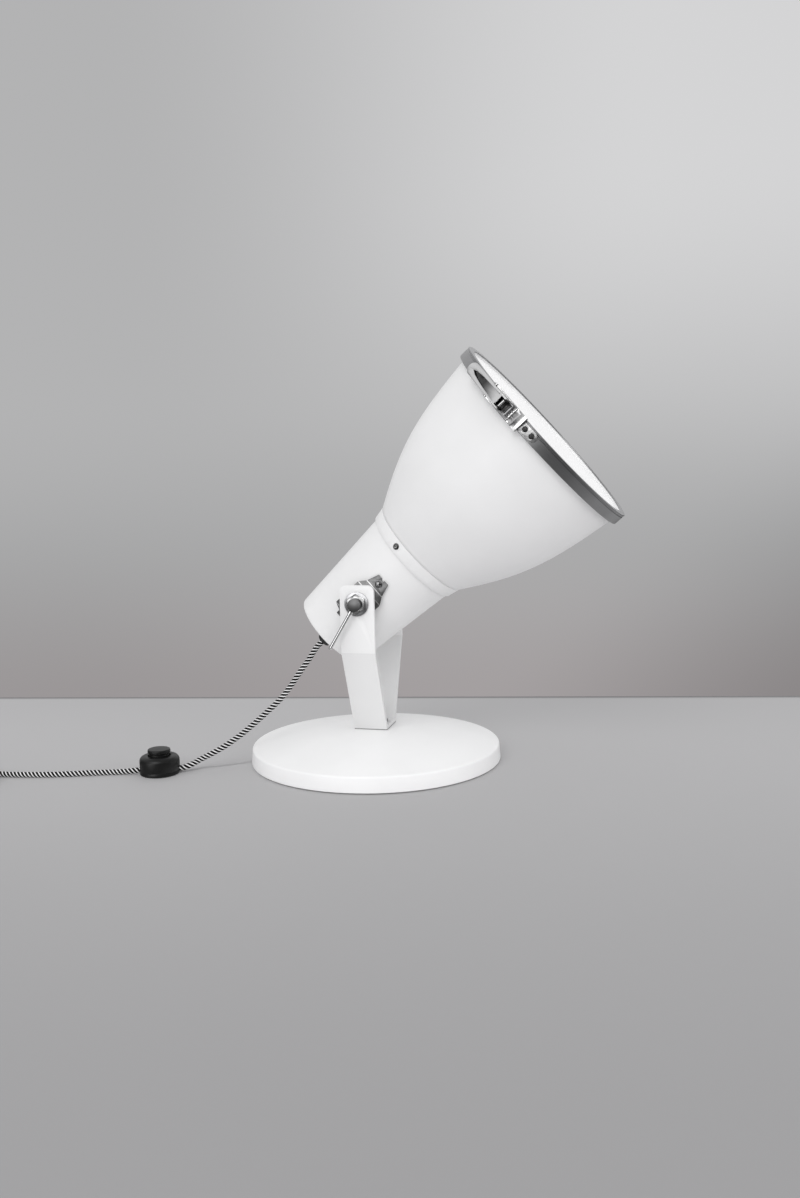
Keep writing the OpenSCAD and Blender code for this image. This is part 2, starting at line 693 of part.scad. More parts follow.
// Lampholder
socket_rear = neck_end + plate_t;
socket_front = socket_rear + socket_len;
cap_rear = socket_front - cap_len;
module holder_plate() {
    color(STEEL) head() translate([0, 0, neck_end]) difference() {
        cylinder(r = plate_r, h = plate_t);
        translate([0, 0, -1]) cylinder(r = nipple_d/2 + slip_fit, h = plate_t + 2);
        for (k = [0:3]) rotate([0, 0, 45 + 90*k]) translate([(socket_d/2 + plate_r)/2, 0, -1])
            cylinder(d = 14, h = plate_t + 2);
    }
}
module lampholder() {
    nipple = nipple_d/2;
    wire = cord_d/2 + side_play;
    rear = neck_end - nipple_len;
    color(PALE) head() rotate_extrude() polygon([[wire, rear], [nipple, rear], [nipple, socket_rear],
        [socket_d/2, socket_rear], [socket_d/2, socket_front - 3], [socket_d/2 - 3, socket_front],
        [cap_d/2 + side_play, socket_front], [cap_d/2 + side_play, cap_rear], [0, cap_rear],
        [0, socket_rear + 6], [wire, socket_rear + 6]]);
}
module holder_nut() {
    color(STEEL) head() translate([0, 0, neck_end - 5]) difference() {
        hex(nipple_d + 7, 5);
        translate([0, 0, -1]) cylinder(r = nipple_d/2 + run_fit, h = 7);
    }
}
module bulb() {
    globe = bulb_d/2;
    middle = socket_front + bulb_d*0.62;
    color("#f7f5ea") head() rotate_extrude() polygon(concat(
        [[0, cap_rear], [cap_d/2 - 3, cap_rear + 0.01], [cap_d/2, cap_rear + 3], [cap_d/2, socket_front + 4]],
        arc(0, middle, globe, -50, 90, 14)));
}

// Bell shade: an outline with a slope and a pull at each end
bell_steps = 24;
bell = [[neck_d/2, collar_front], [neck_d/2 + neck_pull*neck_slope, collar_front + neck_pull],
    [mouth_r - mouth_pull*mouth_slope, shade_mouth - mouth_pull], [mouth_r, shade_mouth]];
function bell_at(t) = pow(1 - t, 3)*bell[0] + 3*pow(1 - t, 2)*t*bell[1]
    + 3*(1 - t)*t*t*bell[2] + pow(t, 3)*bell[3];
function bell_dir(t) = unit(bell_at(t + 0.005) - bell_at(t - 0.005));
function bell_inside(t) = bell_at(t) + shade_wall*[-bell_dir(t)[1], bell_dir(t)[0]];
module shade() {
    lean = norm([1, neck_slope]);
    outside = [for (i = [0:bell_steps]) bell_at(i/bell_steps)];
    inside = [for (i = [bell_steps - 1:-1:1]) bell_inside(i/bell_steps)];
    color(WHITE) head() difference() {
        rotate_extrude($fn = 128) polygon(concat(outside,
            [[flange_r, shade_mouth], [flange_r, gasket_rear], [mouth_r - shade_wall, gasket_rear]],
            inside,
            [[neck_d/2 + shade_wall*(neck_slope - lean), collar_front + shade_wall],
                [neck_bore/2, collar_front + shade_wall], [neck_bore/2, collar_front]]));
        for (k = [0:2]) rotate([0, 0, 60 + 120*k]) translate([shade_screw_r, 0, collar_front - 5])
            cylinder(d = shade_screw_d + 2*hole_play, h = 5 + shade_wall + 0.5);
    }
}
module shade_screws() {
    color(STEEL) head() for (k = [0:2]) rotate([0, 0, 60 + 120*k])
        translate([shade_screw_r, 0, collar_front + shade_wall])
            dome_screw(shade_screw_d, shade_wall + 7, 1.75*shade_screw_d, 1.8);
}

// Glass, gasket and clamp band
module gasket() {
    leg_r = lip_r + 0.5;
    slot_r = glass_r + slip_fit;
    color(PALE) head() rotate_extrude($fn = 128) polygon([[leg_r, gasket_rear], [flange_r, gasket_rear],
        [flange_r, gasket_front], [leg_r, gasket_front], [leg_r, glass_front], [slot_r, glass_front],
        [slot_r, glass_rear], [leg_r, glass_rear]]);
}
module glass() {
    color("#fbfbf8") head() translate([0, 0, glass_rear]) cylinder(r = glass_r, h = glass_t, $fn = 128);
}
band_mid = (lever_turn + 4 + catch_turn)/2;
module band() {
    rear_lip = mouth_r + 0.5;
    color(STEEL) head() rotate([0, 0, 180 + band_mid + band_gap_span/2])
        rotate_extrude(angle = 360 - band_gap_span, $fn = 128) polygon([
            [rear_lip, band_rear], [band_r, band_rear], [band_r, band_front], [lip_r, band_front],
            [lip_r, band_front - band_t], [band_in, band_front - band_t],
            [band_in, band_rear + band_t], [rear_lip, band_rear + band_t]]);
}

// Draw latch
module latch_base() {
    ear = latch_pin_d/2 + 1.3;
    color(STEEL) difference() {
        union() {
            rim_arc(base_start, lever_turn + 3, latch_seat, plate_out, latch_half);
            at_rim(lever_turn, rim_mid) for (z = [-latch_half, latch_half - latch_t]) translate([0, 0, z]) {
                translate([latch_seat + 0.3, -ear, 0]) cube([pin_r - latch_seat - 0.3, 2*ear, latch_t]);
                translate([pin_r, 0, 0]) cylinder(r = ear, h = latch_t);
            }
        }
        at_rim(lever_turn, rim_mid) translate([pin_r, 0, -20]) cylinder(r = latch_pin_d/2 + run_fit, h = 40);
        for (turn = base_rivets) at_rim(turn, rim_mid) translate([band_r - 5, 0, 0]) rotate([0, 90, 0])
            cylinder(d = rivet_d + 2*run_fit, h = 20);
    }
}
module latch_catch() {
    catch_half = latch_half - 0.2;
    round_turn = catch_turn + catch_span - rim_turn(catch_half);
    color(STEEL) difference() {
        union() {
            intersection() {
                rim_arc(catch_turn, catch_turn + catch_span, latch_seat, plate_out, catch_half + 1);
                at_rim(round_turn, rim_mid) union() {
                    rotate([0, 90, 0]) cylinder(r = catch_half, h = 2*plate_out);
                    translate([0, -plate_out, -catch_half]) cube([2*plate_out, plate_out, 2*catch_half]);
                }
            }
            at_rim(catch_turn, rim_mid) translate([latch_seat + 0.1, 0, -catch_half])
                cube([catch_h, latch_t, 2*catch_half]);
        }
        for (turn = catch_rivets) at_rim(turn, rim_mid) translate([band_r - 5, 0, 0]) rotate([0, 90, 0])
            cylinder(d = rivet_d + 2*run_fit, h = 20);
    }
}
module latch_rivets() {
    turns = concat(base_rivets, catch_rivets);
    color(DARK_STEEL) for (turn = turns) at_rim(turn, rim_mid) rotate([0, 90, 0]) {
        translate([0, 0, band_r + slip_fit]) cylinder(d = rivet_d, h = plate_out - band_r + slip_fit);
        translate([0, 0, plate_out + slip_fit]) cylinder(d = rivet_head_d, h = rivet_head_t);
    }
}
module latch_pin() {
    color(STEEL) at_rim(lever_turn, rim_mid) translate([pin_r, 0, -lever_out])
        cylinder(d = latch_pin_d, h = 2*lever_out);
}
// The lever's own frame: origin on its pin, handle along -Y, away from the rim +X
module at_lever() {
    at_rim(lever_turn, rim_mid) translate([pin_r, 0, 0]) rotate([0, 0, -lever_lean]) children();
}
// The lever is a pressed cap, open round its pin. Its leaf-shaped dish rises over the loop's pin
// and runs out just short of that opening
leaf_tip = lever_len - 8;
leaf_end = latch_pin_d/2 + 4;
leaf_low = -1.2;
lever_cap = lever_rim - latch_t;
leaf_share = (latch_pin_d/2 + side_play - loop_drop - leaf_low)/(lever_cap - leaf_low);
leaf_ramp = (loop_arm - leaf_share*leaf_end)/(1 - leaf_share);
leaf_steps = 8;
function leaf(grow) =
    let (long = leaf_tip + grow - leaf_end,
        side = [for (i = [0:leaf_steps]) [i/leaf_steps*long - leaf_tip - grow,
            (lever_in - 1 + grow)*sin(90*pow(i/leaf_steps, 0.6))]])
    concat(side, [for (i = [leaf_steps:-1:1]) [side[i][0], -side[i][1]]]);
module lever_stadium(half, tip, from, to) {
    translate([from, -tip, -half]) cube([to - from, 2*tip, 2*half]);
    translate([from, -tip, 0]) rotate([0, 90, 0]) cylinder(r = half, h = to - from);
}
module lever_dish(grow, low, high, end) {
    intersection() {
        translate([low, 0, 0]) rotate([90, 0, 90]) linear_extrude(height = high - low) polygon(leaf(grow));
        linear_extrude(height = 4*lever_out, center = true) polygon([
            [low, -2*lever_len], [low, -leaf_ramp], [end, -leaf_end], [high, -leaf_end], [high, -2*lever_len]]);
    }
}
module latch_lever() {
    skirt = latch_pin_d/2 + 1.4;
    tip = lever_len - lever_out;
    opening = latch_pin_d/2 + 1.9;
    color(STEEL) at_lever() difference() {
        union() {
            difference() {
                lever_stadium(lever_out, tip, -skirt, lever_rim);
                lever_stadium(lever_in, tip, -skirt - 1, lever_cap);
            }
            lever_dish(latch_t, leaf_low, lever_rim, lever_cap);
        }
        lever_dish(0, leaf_low + latch_t, lever_rim + 1, lever_rim);
        translate([-20, -opening, -lever_in]) cube([40, 2*tip, 2*lever_in]);
        translate([-20, skirt, -20]) cube([40, 2*tip, 40]);
        translate([0, 0, -20]) cylinder(r = latch_pin_d/2 + run_fit, h = 40);
        translate([-loop_drop, -loop_arm, -20]) cylinder(r = latch_pin_d/2 + run_fit, h = 40);
    }
}
module loop_pin() {
    color(STEEL) at_lever() translate([-loop_drop, -loop_arm, -rail_out - 0.4])
        cylinder(d = latch_pin_d, h = 2*rail_out + 0.8);
}
// The loop's own frame: origin on its pin, hook along +Y
module at_loop() {
    lean = atan2(loop_x2 - loop_x1, loop_y2 - loop_y1);
    at_rim(loop_mid, rim_mid) translate([loop_x1, loop_y1, 0]) rotate([0, 0, -lean]) children();
}
module latch_loop() {
    ear = latch_pin_d/2 + 1.2;
    run = norm([loop_x2 - loop_x1, loop_y2 - loop_y1]);
    over = (latch_seat + 0.1 + catch_h)*cos(catch_turn - loop_mid) + side_play - loop_x2;
    hook_back = 6.5;
    roller_at = 0.72*run;
    color(STEEL) at_loop() difference() {
        union() {
            for (z = [-rail_out, rail_in]) translate([0, 0, z]) {
                translate([-rail_h/2, 0, 0]) cube([rail_h, run, rail_t]);
                cylinder(r = ear, h = rail_t);
                translate([0, run, 0]) cylinder(d = rail_h, h = rail_t);
                translate([0, run - hook_back, 0]) cube([over + latch_t, hook_back + hook_d/2, rail_t]);
            }
            translate([0, run, -rail_out]) cylinder(d = hook_d, h = 2*rail_out);
            translate([over, run - hook_back, -rail_out]) cube([latch_t, hook_back + hook_d/2, 2*rail_out]);
            translate([1.4, roller_at, -rail_out + 0.1]) cylinder(d = 2.4, h = 2*rail_out - 0.2);
            for (z = [-3.4, 0, 3.4]) translate([1.4, roller_at, z]) cylinder(d = 4.8, h = 2.2, center = true);
        }
        translate([0, 0, -20]) cylinder(r = latch_pin_d/2 + run_fit, h = 40);
    }
}

// Cord from the grommet to the switch
cord_out = head_point(grommet_down, -grommet_near, grommet_face - face_play);
cord_out_2 = head_point(grommet_down, -grommet_near, grommet_face - 9);
function switch_point(x, z) = [switch_x + x*cos(switch_turn), switch_y + x*sin(switch_turn), z];
cord_upper_route = concat(
    [cord_out, cord_out_2],
    [[-66, -40, 130], [-77, -44.5, 114], [-88, -48.5, 97.5], [-99, -53, 83], [-113, -58, 69],
        [-129, -63.5, 54.5], [-145, -69, 41], [-161, -75, 29.5], [-178, -81.5, 19.5], [-194, -88, 11.5]],
    [switch_point(31, 6.4), switch_point(24, 5), switch_point(core_half + face_play, switch_split)]);
module cord_upper() {
    color(BLACK) tube(cord_upper_route, cord_d, 10, [0, 1, 0]);
}
cord_tail_route = [
    head_point(grommet_down, -grommet_near, grommet_face),
    head_point(grommet_down, -grommet_near, 12 - rear_len),
    head_point(4.3, -36, 26 - rear_len),
    head_point(3.5, -29.5, 42 - rear_len),
    head_point(2.5, -19.5, 60 - rear_len),
    head_point(1, -8.5, 78 - rear_len),
    head_point(0.3, -2.2, 94 - rear_len),
    head_point(0, 0, neck_end - nipple_len - 18),
    head_point(0, 0, neck_end - nipple_len - 4),
    head_point(0, 0, socket_rear + 4)];
module cord_tail() {
    color(BLACK) tube(cord_tail_route, cord_d, 10, [0, 1, 0]);
}

// Foot switch
module cord_bore() {
    translate([0, 0, switch_split]) rotate([0, 90, 0])
        cylinder(d = cord_d + 2*side_play, h = 2*switch_d, center = true);
}
module switch_base() {
    color(BLACK) at_switch() difference() {
        union() {
            difference() {
                rotate_extrude() polygon([[0, 0], [switch_r - 1, 0], [switch_r, 1],
                    [switch_r, switch_split], [0, switch_split]]);
                translate([0, 0, switch_wall]) cylinder(r = cavity_r, h = switch_split);
            }
            for (y = [-switch_post_y, switch_post_y]) translate([0, y, 0.5])
                cylinder(r = switch_post_r + 1, h = switch_split - 0.5);
        }
        cord_bore();
        for (y = [-switch_post_y, switch_post_y]) translate([0, y, -1]) {
            cylinder(d = switch_screw_d + 2*hole_play, h = 20);
            cylinder(d = 2*switch_screw_d + 0.6, h = 3.4);
        }
    }
}
module switch_cover() {
    shoulder = 6;
    opening = button_d/2 + side_play;
    color(BLACK) at_switch() difference() {
        union() {
            rotate_extrude() polygon(concat(
                [[cavity_r, switch_split + face_play], [switch_r, switch_split + face_play]],
                arc(switch_r - shoulder, switch_h - shoulder, shoulder, 0, 90, 8),
                [[opening, switch_h], [opening, ceiling], [cavity_r - shoulder + 1, ceiling],
                    [cavity_r, ceiling - shoulder + 1]]));
            for (y = [-switch_post_y, switch_post_y]) translate([0, y, switch_split + face_play])
                cylinder(r = switch_post_r, h = 7);
        }
        cord_bore();
        for (y = [-switch_post_y, switch_post_y]) translate([0, y, 0])
            cylinder(d = switch_screw_d + 2*run_fit, h = 10);
    }
}
module switch_screws() {
    color(STEEL) at_switch() for (y = [-switch_post_y, switch_post_y]) translate([0, y, 2.4])
        rotate([180, 0, 0]) dome_screw(switch_screw_d, 7, 2*switch_screw_d, 1.6);
}
module switch_core() {
    color("#4a4a4a") at_switch() union() {
        translate([-core_half, -core_y, switch_wall]) cube([2*core_half, 2*core_y, core_top - switch_wall]);
        translate([0, 0, core_top - 0.01]) cylinder(r = 4.5, h = 3);
    }
}
module switch_button() {
    r = button_d/2;
    color(BLACK) at_switch() rotate_extrude() polygon(concat(
        [[button_bore_r, button_rest], [button_flange_r, button_rest],
            [button_flange_r, button_rest + button_flange_t],
            [r - button_neck, button_rest + button_flange_t],
            [r - button_neck, button_top - button_cap], [r, button_top - button_cap + 0.8]],
        arc(r - button_crown, button_top - button_crown, button_crown, 0, 90, 6),
        [[0, button_top], [0, button_top - 2.5], [button_bore_r, button_top - 2.5]]));
}
spring_r = 6.6;
spring_d = 1.4;
spring_turns = 5;
spring_low = core_top + spring_d/2 + 0.05;
spring_high = button_top - 2.5 - spring_d/2 - 0.05;
spring_route = [for (i = [0:spring_turns*12]) [spring_r*cos(30*i), spring_r*sin(30*i),
    spring_low + (spring_high - spring_low)*i/(spring_turns*12)]];
module switch_spring() {
    color(STEEL) at_switch() tube(spring_route, spring_d, 6, [0, 0, 1]);
}

// Cord from the switch to the coil
cord_lower_route = concat(
    [switch_point(-core_half - face_play, switch_split), switch_point(-24, switch_split),
        switch_point(-32, 4.4)],
    [[-282, -123, cord_floor], [-298, -127.8, cord_floor], [-316, -133.5, cord_floor],
        [-334, -140, cord_floor], [-352, -145.5, cord_floor], [-370, -149.5, cord_floor],
        [-388, -152.5, cord_floor], [-406, -154.5, cord_floor],
        [-424, coil_side_y, (cord_floor + coil_low)/2]],
    [[coil_start_x + 8, coil_side_y, coil_low], [coil_start_x + face_play, coil_side_y, coil_low]]);
module cord_lower() {
    color(BLACK) tube(cord_lower_route, cord_d, 10, [0, 0, 1]);
}

// The coil spirals in on its lower layer, climbs in the half turn where it reverses, and spirals out
coil_count = round(2*coil_turns*coil_rings);
function climb(a) = let (t = min(max((a + 90)/180, 0), 1)) t*t*(3 - 2*t);
function coil_point(i) =
    let (a = 360*(i/coil_rings - coil_turns),
        r = coil_inner + coil_step*abs(a)/360,
        turn = 90 + 360*i/coil_rings)
    [coil_x + r*cos(turn), coil_y + r*sin(turn), coil_low + coil_step*climb(a)];
coil_high = coil_low + coil_step;
coil_route = concat(
    [[coil_start_x, coil_side_y, coil_low], [coil_start_x - cord_d - 1, coil_side_y, coil_low]],
    [for (i = [0:coil_count]) coil_point(i)],
    [[coil_x - 16, coil_side_y, coil_high + 0.6], [coil_x - 32, coil_side_y, (coil_high + plug_r)/2],
        [plug_x + cord_d + 6, coil_side_y, plug_r - 0.5], [plug_x + cord_d, coil_side_y, plug_r],
        [plug_x + face_play, coil_side_y, plug_r]]);
coil_gap = min([for (i = [0:len(coil_route) - 1]) for (j = [i + 8:1:len(coil_route) - 1])
    norm(coil_route[i] - coil_route[j])]) - cord_d;
module cord_coil() {
    echo(coil_gap = coil_gap);
    color(BLACK) tube(coil_route, cord_d, 6, [0, 0, 1]);
}
module coil_tie() {
    tie_w = 8;
    inner = coil_inner - cord_d/2 - 0.4;
    outer = coil_outer + cord_d/2 + 0.4;
    top = coil_high + cord_d/2 + 0.4;
    color(BLACK) translate([coil_x, coil_y, 0]) rotate([0, 0, 200]) difference() {
        translate([inner - tie_t, -tie_w/2, 0]) cube([outer - inner + 2*tie_t, tie_w, top + tie_t]);
        translate([inner, -tie_w, tie_t]) cube([outer - inner, 2*tie_w, top - tie_t]);
    }
}
module plug_body() {
    sleeve = cord_d/2 + 2.4;
    color(BLACK) at_plug() difference() {
        rotate_extrude() polygon([[0, 0], [sleeve, 0], [sleeve + 1, 10], [plug_r - 5, 16], [plug_r - 1, 21],
            [plug_r, 24], [plug_r, plug_len - 1], [plug_r - 1, plug_len], [0, plug_len]]);
        for (y = [-pin_half, pin_half]) translate([0, y, plug_len - 12])
            cylinder(d = pin_d + 2*run_fit, h = 20);
    }
}
module plug_pins() {
    color(STEEL) at_plug() for (y = [-pin_half, pin_half]) translate([0, y, plug_len - 11.9])
        rotate_extrude($fn = 48) polygon([[0, 0], [pin_d/2, 0], [pin_d/2, pin_len + 10.4],
            [pin_d/2 - 1.4, pin_len + 11.9], [0, pin_len + 11.9]]);
}

base_shell();
base_weight();
base_pad();
stirrup();
stirrup_bolts();
stirrup_nuts();
pivot_washers();
housing();
bracket_near();
bracket_far();
bracket_screws();
bracket_rivets();
pivot_studs();
friction_washers();
far_nut();
lock_nut();
lock_bar();
grommet();
cord_tail();
collar();
collar_screws();
holder_plate();
lampholder();
holder_nut();
bulb();
shade();
shade_screws();
gasket();
glass();
band();
latch_base();
latch_catch();
latch_rivets();
latch_pin();
latch_lever();
loop_pin();
latch_loop();
cord_upper();
switch_base();
switch_cover();
switch_screws();
switch_core();
switch_button();
switch_spring();
cord_lower();
cord_coil();
coil_tie();
plug_body();
plug_pins();
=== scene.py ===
# %% [markdown]
# # A tilting uplighter, dressed for the camera
# The solids of this lamp come ready made, in one frame with the floor at z = 0. This lesson keeps
# them where they are and gives each visible piece its soft edges, its smooth curves and its finish.
# Blender works in metres. Sizes of the lamp are written in millimetres and multiplied by MM.

import math

import bmesh
import bpy
import numpy as np
from mathutils import Matrix


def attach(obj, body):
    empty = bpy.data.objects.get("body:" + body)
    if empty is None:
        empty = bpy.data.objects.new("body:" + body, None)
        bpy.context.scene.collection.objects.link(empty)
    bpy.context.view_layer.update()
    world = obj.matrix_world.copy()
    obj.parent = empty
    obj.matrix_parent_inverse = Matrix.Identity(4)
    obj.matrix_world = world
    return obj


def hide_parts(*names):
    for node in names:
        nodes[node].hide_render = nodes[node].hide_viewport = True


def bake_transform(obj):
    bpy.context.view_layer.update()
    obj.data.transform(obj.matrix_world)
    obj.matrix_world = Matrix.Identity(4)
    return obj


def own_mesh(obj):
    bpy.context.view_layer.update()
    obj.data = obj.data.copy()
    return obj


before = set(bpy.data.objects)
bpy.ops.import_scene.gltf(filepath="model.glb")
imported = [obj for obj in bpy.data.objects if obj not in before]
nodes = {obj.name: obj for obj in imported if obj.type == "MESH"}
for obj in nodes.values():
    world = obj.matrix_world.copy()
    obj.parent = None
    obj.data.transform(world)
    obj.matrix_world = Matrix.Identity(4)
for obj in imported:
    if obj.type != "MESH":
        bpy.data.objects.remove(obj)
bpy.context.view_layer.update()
MM = 0.001

# %% [markdown]
# ## Camera
# The camera stands where the photograph was taken from. It could be placed by eye, but a lamp made
# of round pieces shows every degree of error in its ellipses. So a pinhole was fitted to the
# outlines of the base, the stirrup, the rim and the foot switch, which gave a place, three turns
# and a focal length in pixels of the 800 by 1198 picture. Blender takes the long side of the
# picture as its sensor width, so the focal length and the offset of the centre are both shares of
# 1198.

# %% Camera
PICTURE = (800, 1198)
FOCAL_PX = 1100.0
CENTRE_PX = (378.67, 625.30)
EYE = np.array([0.34248, -1.24996, 0.36326])
YAW, PITCH, ROLL = -0.262, 0.154, 0.0264
SENSOR_WIDTH, CLIP_NEAR, CLIP_FAR = 36.0, 0.01, 100.0


def placed(name, data):
    """A new object for that mesh, lamp or camera, linked into the scene."""
    made = bpy.data.objects.new(name, data)
    bpy.context.scene.collection.objects.link(made)
    return made


def placing(x_axis, y_axis, z_axis, at):
    """The matrix whose columns are an object's three axes and its place."""
    columns = np.eye(4)
    columns[:3] = np.stack([x_axis, y_axis, z_axis, at], 1)
    return Matrix(columns.tolist())


level = np.array([math.cos(YAW), -math.sin(YAW), 0.0])
level_ahead = np.array([math.sin(YAW), math.cos(YAW), 0.0])
ahead = level_ahead * math.cos(PITCH) - np.array([0.0, 0.0, math.sin(PITCH)])
below = np.cross(ahead, level)
right = level * math.cos(ROLL) + below * math.sin(ROLL)
down = below * math.cos(ROLL) - level * math.sin(ROLL)

lens = bpy.data.cameras.new("photo_camera")
lens.sensor_width = SENSOR_WIDTH
lens.lens = FOCAL_PX * SENSOR_WIDTH / PICTURE[1]
lens.shift_x = (PICTURE[0] / 2 - CENTRE_PX[0]) / PICTURE[1]
lens.shift_y = (CENTRE_PX[1] - PICTURE[1] / 2) / PICTURE[1]
lens.clip_start, lens.clip_end = CLIP_NEAR, CLIP_FAR
camera = placed("photo_camera", lens)
camera.matrix_world = placing(right, -down, -ahead, EYE)
bpy.context.scene.camera = camera
print("lens", round(lens.lens, 2), "mm")

# %% [markdown]
# ## Shader sums as Python sums
# A finish is a sum of patterns. Wiring Math nodes by hand hides the sum, so one small class wraps a
# socket and lets Python's operators add the nodes. Every other node comes from its one method.


# %% Sockets with operators
class Wire:
    """One output socket in a material. Sums and products of wires and numbers add Math nodes."""

    def __init__(self, tree, socket=None):
        self.tree, self.socket = tree, socket

    def node(self, kind, sets=None, links=None, out=0):
        """A node of that type: its settings first, then values or wires on its sockets. The wire
        that comes back is the output of that number or name."""
        made = self.tree.nodes.new(kind)
        for name, value in (sets or {}).items():
            setattr(made, name, value)
        for key, value in (links or {}).items():
            if isinstance(value, Wire):
                self.tree.links.new(value.socket, made.inputs[key])
            else:
                made.inputs[key].default_value = value
        return Wire(self.tree, made.outputs[out])

    def sum_of(self, operation, *terms):
        """A Math node of that operation on its terms."""
        return self.node("ShaderNodeMath", {"operation": operation}, dict(enumerate(terms)))

    def __add__(self, other):
        return self.sum_of("ADD", self, other)

    def __sub__(self, other):
        return self.sum_of("SUBTRACT", self, other)

    def __rsub__(self, other):
        return self.sum_of("SUBTRACT", other, self)

    def __mul__(self, other):
        return self.sum_of("MULTIPLY", self, other)

    def __truediv__(self, other):
        return self.sum_of("DIVIDE", self, other)

    __radd__, __rmul__ = __add__, __mul__

    def size(self):
        """The number without its sign."""
        return self.sum_of("ABSOLUTE", self)

    def wave(self):
        """The sine of the number, one whole wave for each unit."""
        angle = self * (2 * math.pi)
        return angle.sum_of("SINE", angle)

    def ramp(self, low, high):
        """0 below low, 1 above high, smooth between."""
        return self.node("ShaderNodeMapRange", {"interpolation_type": "SMOOTHSTEP"},
                         {"Value": self, "From Min": low, "From Max": high})

    def stretched(self):
        """Noise lies mostly between 0.3 and 0.7: that part of it, spread over 0 to 1."""
        return self.ramp(0.3, 0.7)

    def tint(self, dark, light):
        """The colour dark where this wire is 0 and light where it is 1. One number is a grey."""
        first, last = ((*np.broadcast_to(colour, 3).tolist(), 1) for colour in (dark, light))
        return self.node("ShaderNodeMix", {"data_type": "RGBA"}, {0: self, 6: first, 7: last}, 2)

    def place(self):
        """The object's own coordinates, or the direction of the ray in the world's shader."""
        return self.node("ShaderNodeTexCoord", out="Object")

    def part(self, axis):
        """One of the three numbers of a vector."""
        return self.node("ShaderNodeSeparateXYZ", None, {0: self}, axis)

    def dot(self, axis):
        """How far a vector reaches along an axis."""
        return self.node("ShaderNodeVectorMath", {"operation": "DOT_PRODUCT"},
                         {0: self, 1: [float(c) for c in axis]}, "Value")

    def noise(self, scale, detail=2.0, rough=0.5):
        """Cloudy noise on the object's own coordinates, with scale grains in a metre."""
        return self.node("ShaderNodeTexNoise", None, {"Vector": self.place(), "Scale": scale,
                                                      "Detail": detail, "Roughness": rough})

    def bump(self, strength, depth):
        """This wire as a height of that depth in metres, turned into a normal."""
        return self.node("ShaderNodeBump", None,
                         {"Strength": strength, "Distance": depth, "Height": self})


looks = {}


def finish(name, **constants):
    """A new Principled material, kept in looks, with its constant sockets set, and a wire to start
    patterns from."""
    made = bpy.data.materials.new(name)
    made.use_nodes = True
    shader = made.node_tree.nodes["Principled BSDF"]
    for socket, value in constants.items():
        shader.inputs[socket.replace("_", " ")].default_value = value
    looks[name] = made
    return made, Wire(made.node_tree)


def feed(material, **wires):
    """Joins wires to the Principled shader's sockets."""
    shader = material.node_tree.nodes["Principled BSDF"]
    for socket, wire in wires.items():
        material.node_tree.links.new(wire.socket, shader.inputs[socket.replace("_", " ")])


# %% [markdown]
# ## Surfaces as grids
# Nearly every smooth piece of this lamp was spun or extruded, so it is a profile carried round an
# axis or along a path. Blender's Screw modifier could spin a profile too, but a grid of points
# keeps the formula in sight and serves both kinds. One helper turns a grid into a mesh and looks at
# the signed volume, so that faces always point outwards.


# %% Grids to meshes
def skin(name, grid, loop_rows=True, uv=None):
    """A mesh from a grid of points (rows, columns, 3). Each row is a closed ring. The rows close on
    themselves too, or else the first and the last ring get a cap. The volume is the sum of
    a . (b x c) over the triangles a, b, c, up to a factor, and where it is negative every face is
    turned round. A uv grid steps on by a whole turn where the ring closes."""
    rows, columns = grid.shape[:2]
    index = np.arange(rows * columns).reshape(rows, columns)
    here, there = (index, np.roll(index, -1, 0)) if loop_rows else (index[:-1], index[1:])
    quads = np.stack([here, np.roll(here, -1, 1), np.roll(there, -1, 1), there], -1).reshape(-1, 4)
    caps = [] if loop_rows else [index[0][::-1], index[-1]]
    points = grid.reshape(-1, 3)
    a, b, c, d = (points[quads[:, k]] for k in range(4))
    volume = np.sum(a * np.cross(b, c)) + np.sum(a * np.cross(c, d))
    for cap in caps:
        ring = points[cap]
        volume += np.sum(ring[0] * np.cross(ring[1:-1], ring[2:]))
    if volume < 0:
        quads, caps = quads[:, ::-1], [cap[::-1] for cap in caps]
    mesh = bpy.data.meshes.new(name)
    mesh.from_pydata(points.tolist(), [], quads.tolist() + [cap.tolist() for cap in caps])
    mesh.polygons.foreach_set("use_smooth", np.arange(len(mesh.polygons)) < len(quads))
    if uv is not None:
        corner = np.zeros(len(mesh.loops), int)
        mesh.loops.foreach_get("vertex_index", corner)
        flat = uv.reshape(-1, 2)[corner]
        column = corner[: quads.size].reshape(-1, 4) % columns
        wraps = (column.max(1) - column.min(1) > 1)[:, None] & (column == 0)
        flat[: quads.size, 0] += wraps.reshape(-1)
        layer = mesh.uv_layers.new(name="along")
        layer.data.foreach_set("uv", flat.astype(np.float32).reshape(-1))
    return placed(name, mesh)


# %% Outlines
MOST_OF_SIDE, LEAD = 0.45, 0.1


def rounded(corners, radii, steps=5):
    """A closed outline whose corners are cut by quarter curves: each runs from one side to the
    next, tangent to both, and a point a little way out on each side keeps the flat parts flat. A
    corner of no radius stays one point."""
    corners = np.asarray(corners, float)
    back, on = np.roll(corners, 1, 0) - corners, np.roll(corners, -1, 0) - corners
    back_long, on_long = (np.linalg.norm(side, axis=1)[:, None] for side in (back, on))
    sizes = np.broadcast_to(radii, len(corners))[:, None]
    reach = np.minimum(sizes, MOST_OF_SIDE * np.minimum(back_long, on_long))
    one, two = corners + back / back_long * reach, corners + on / on_long * reach
    t = np.linspace(0, 1, steps)[:, None, None]
    arc = (1 - t) ** 2 * one + 2 * t * (1 - t) * corners + t**2 * two
    ends = [one + (one - corners) * LEAD], [two + (two - corners) * LEAD]
    line = np.concatenate([ends[0], arc, ends[1]]).transpose(1, 0, 2)
    return line[(reach > 0) | (np.arange(steps + 2) == 0)]


# %% Turned pieces
ON_AXIS, PIN_HOLE = 1e-7, 2e-5


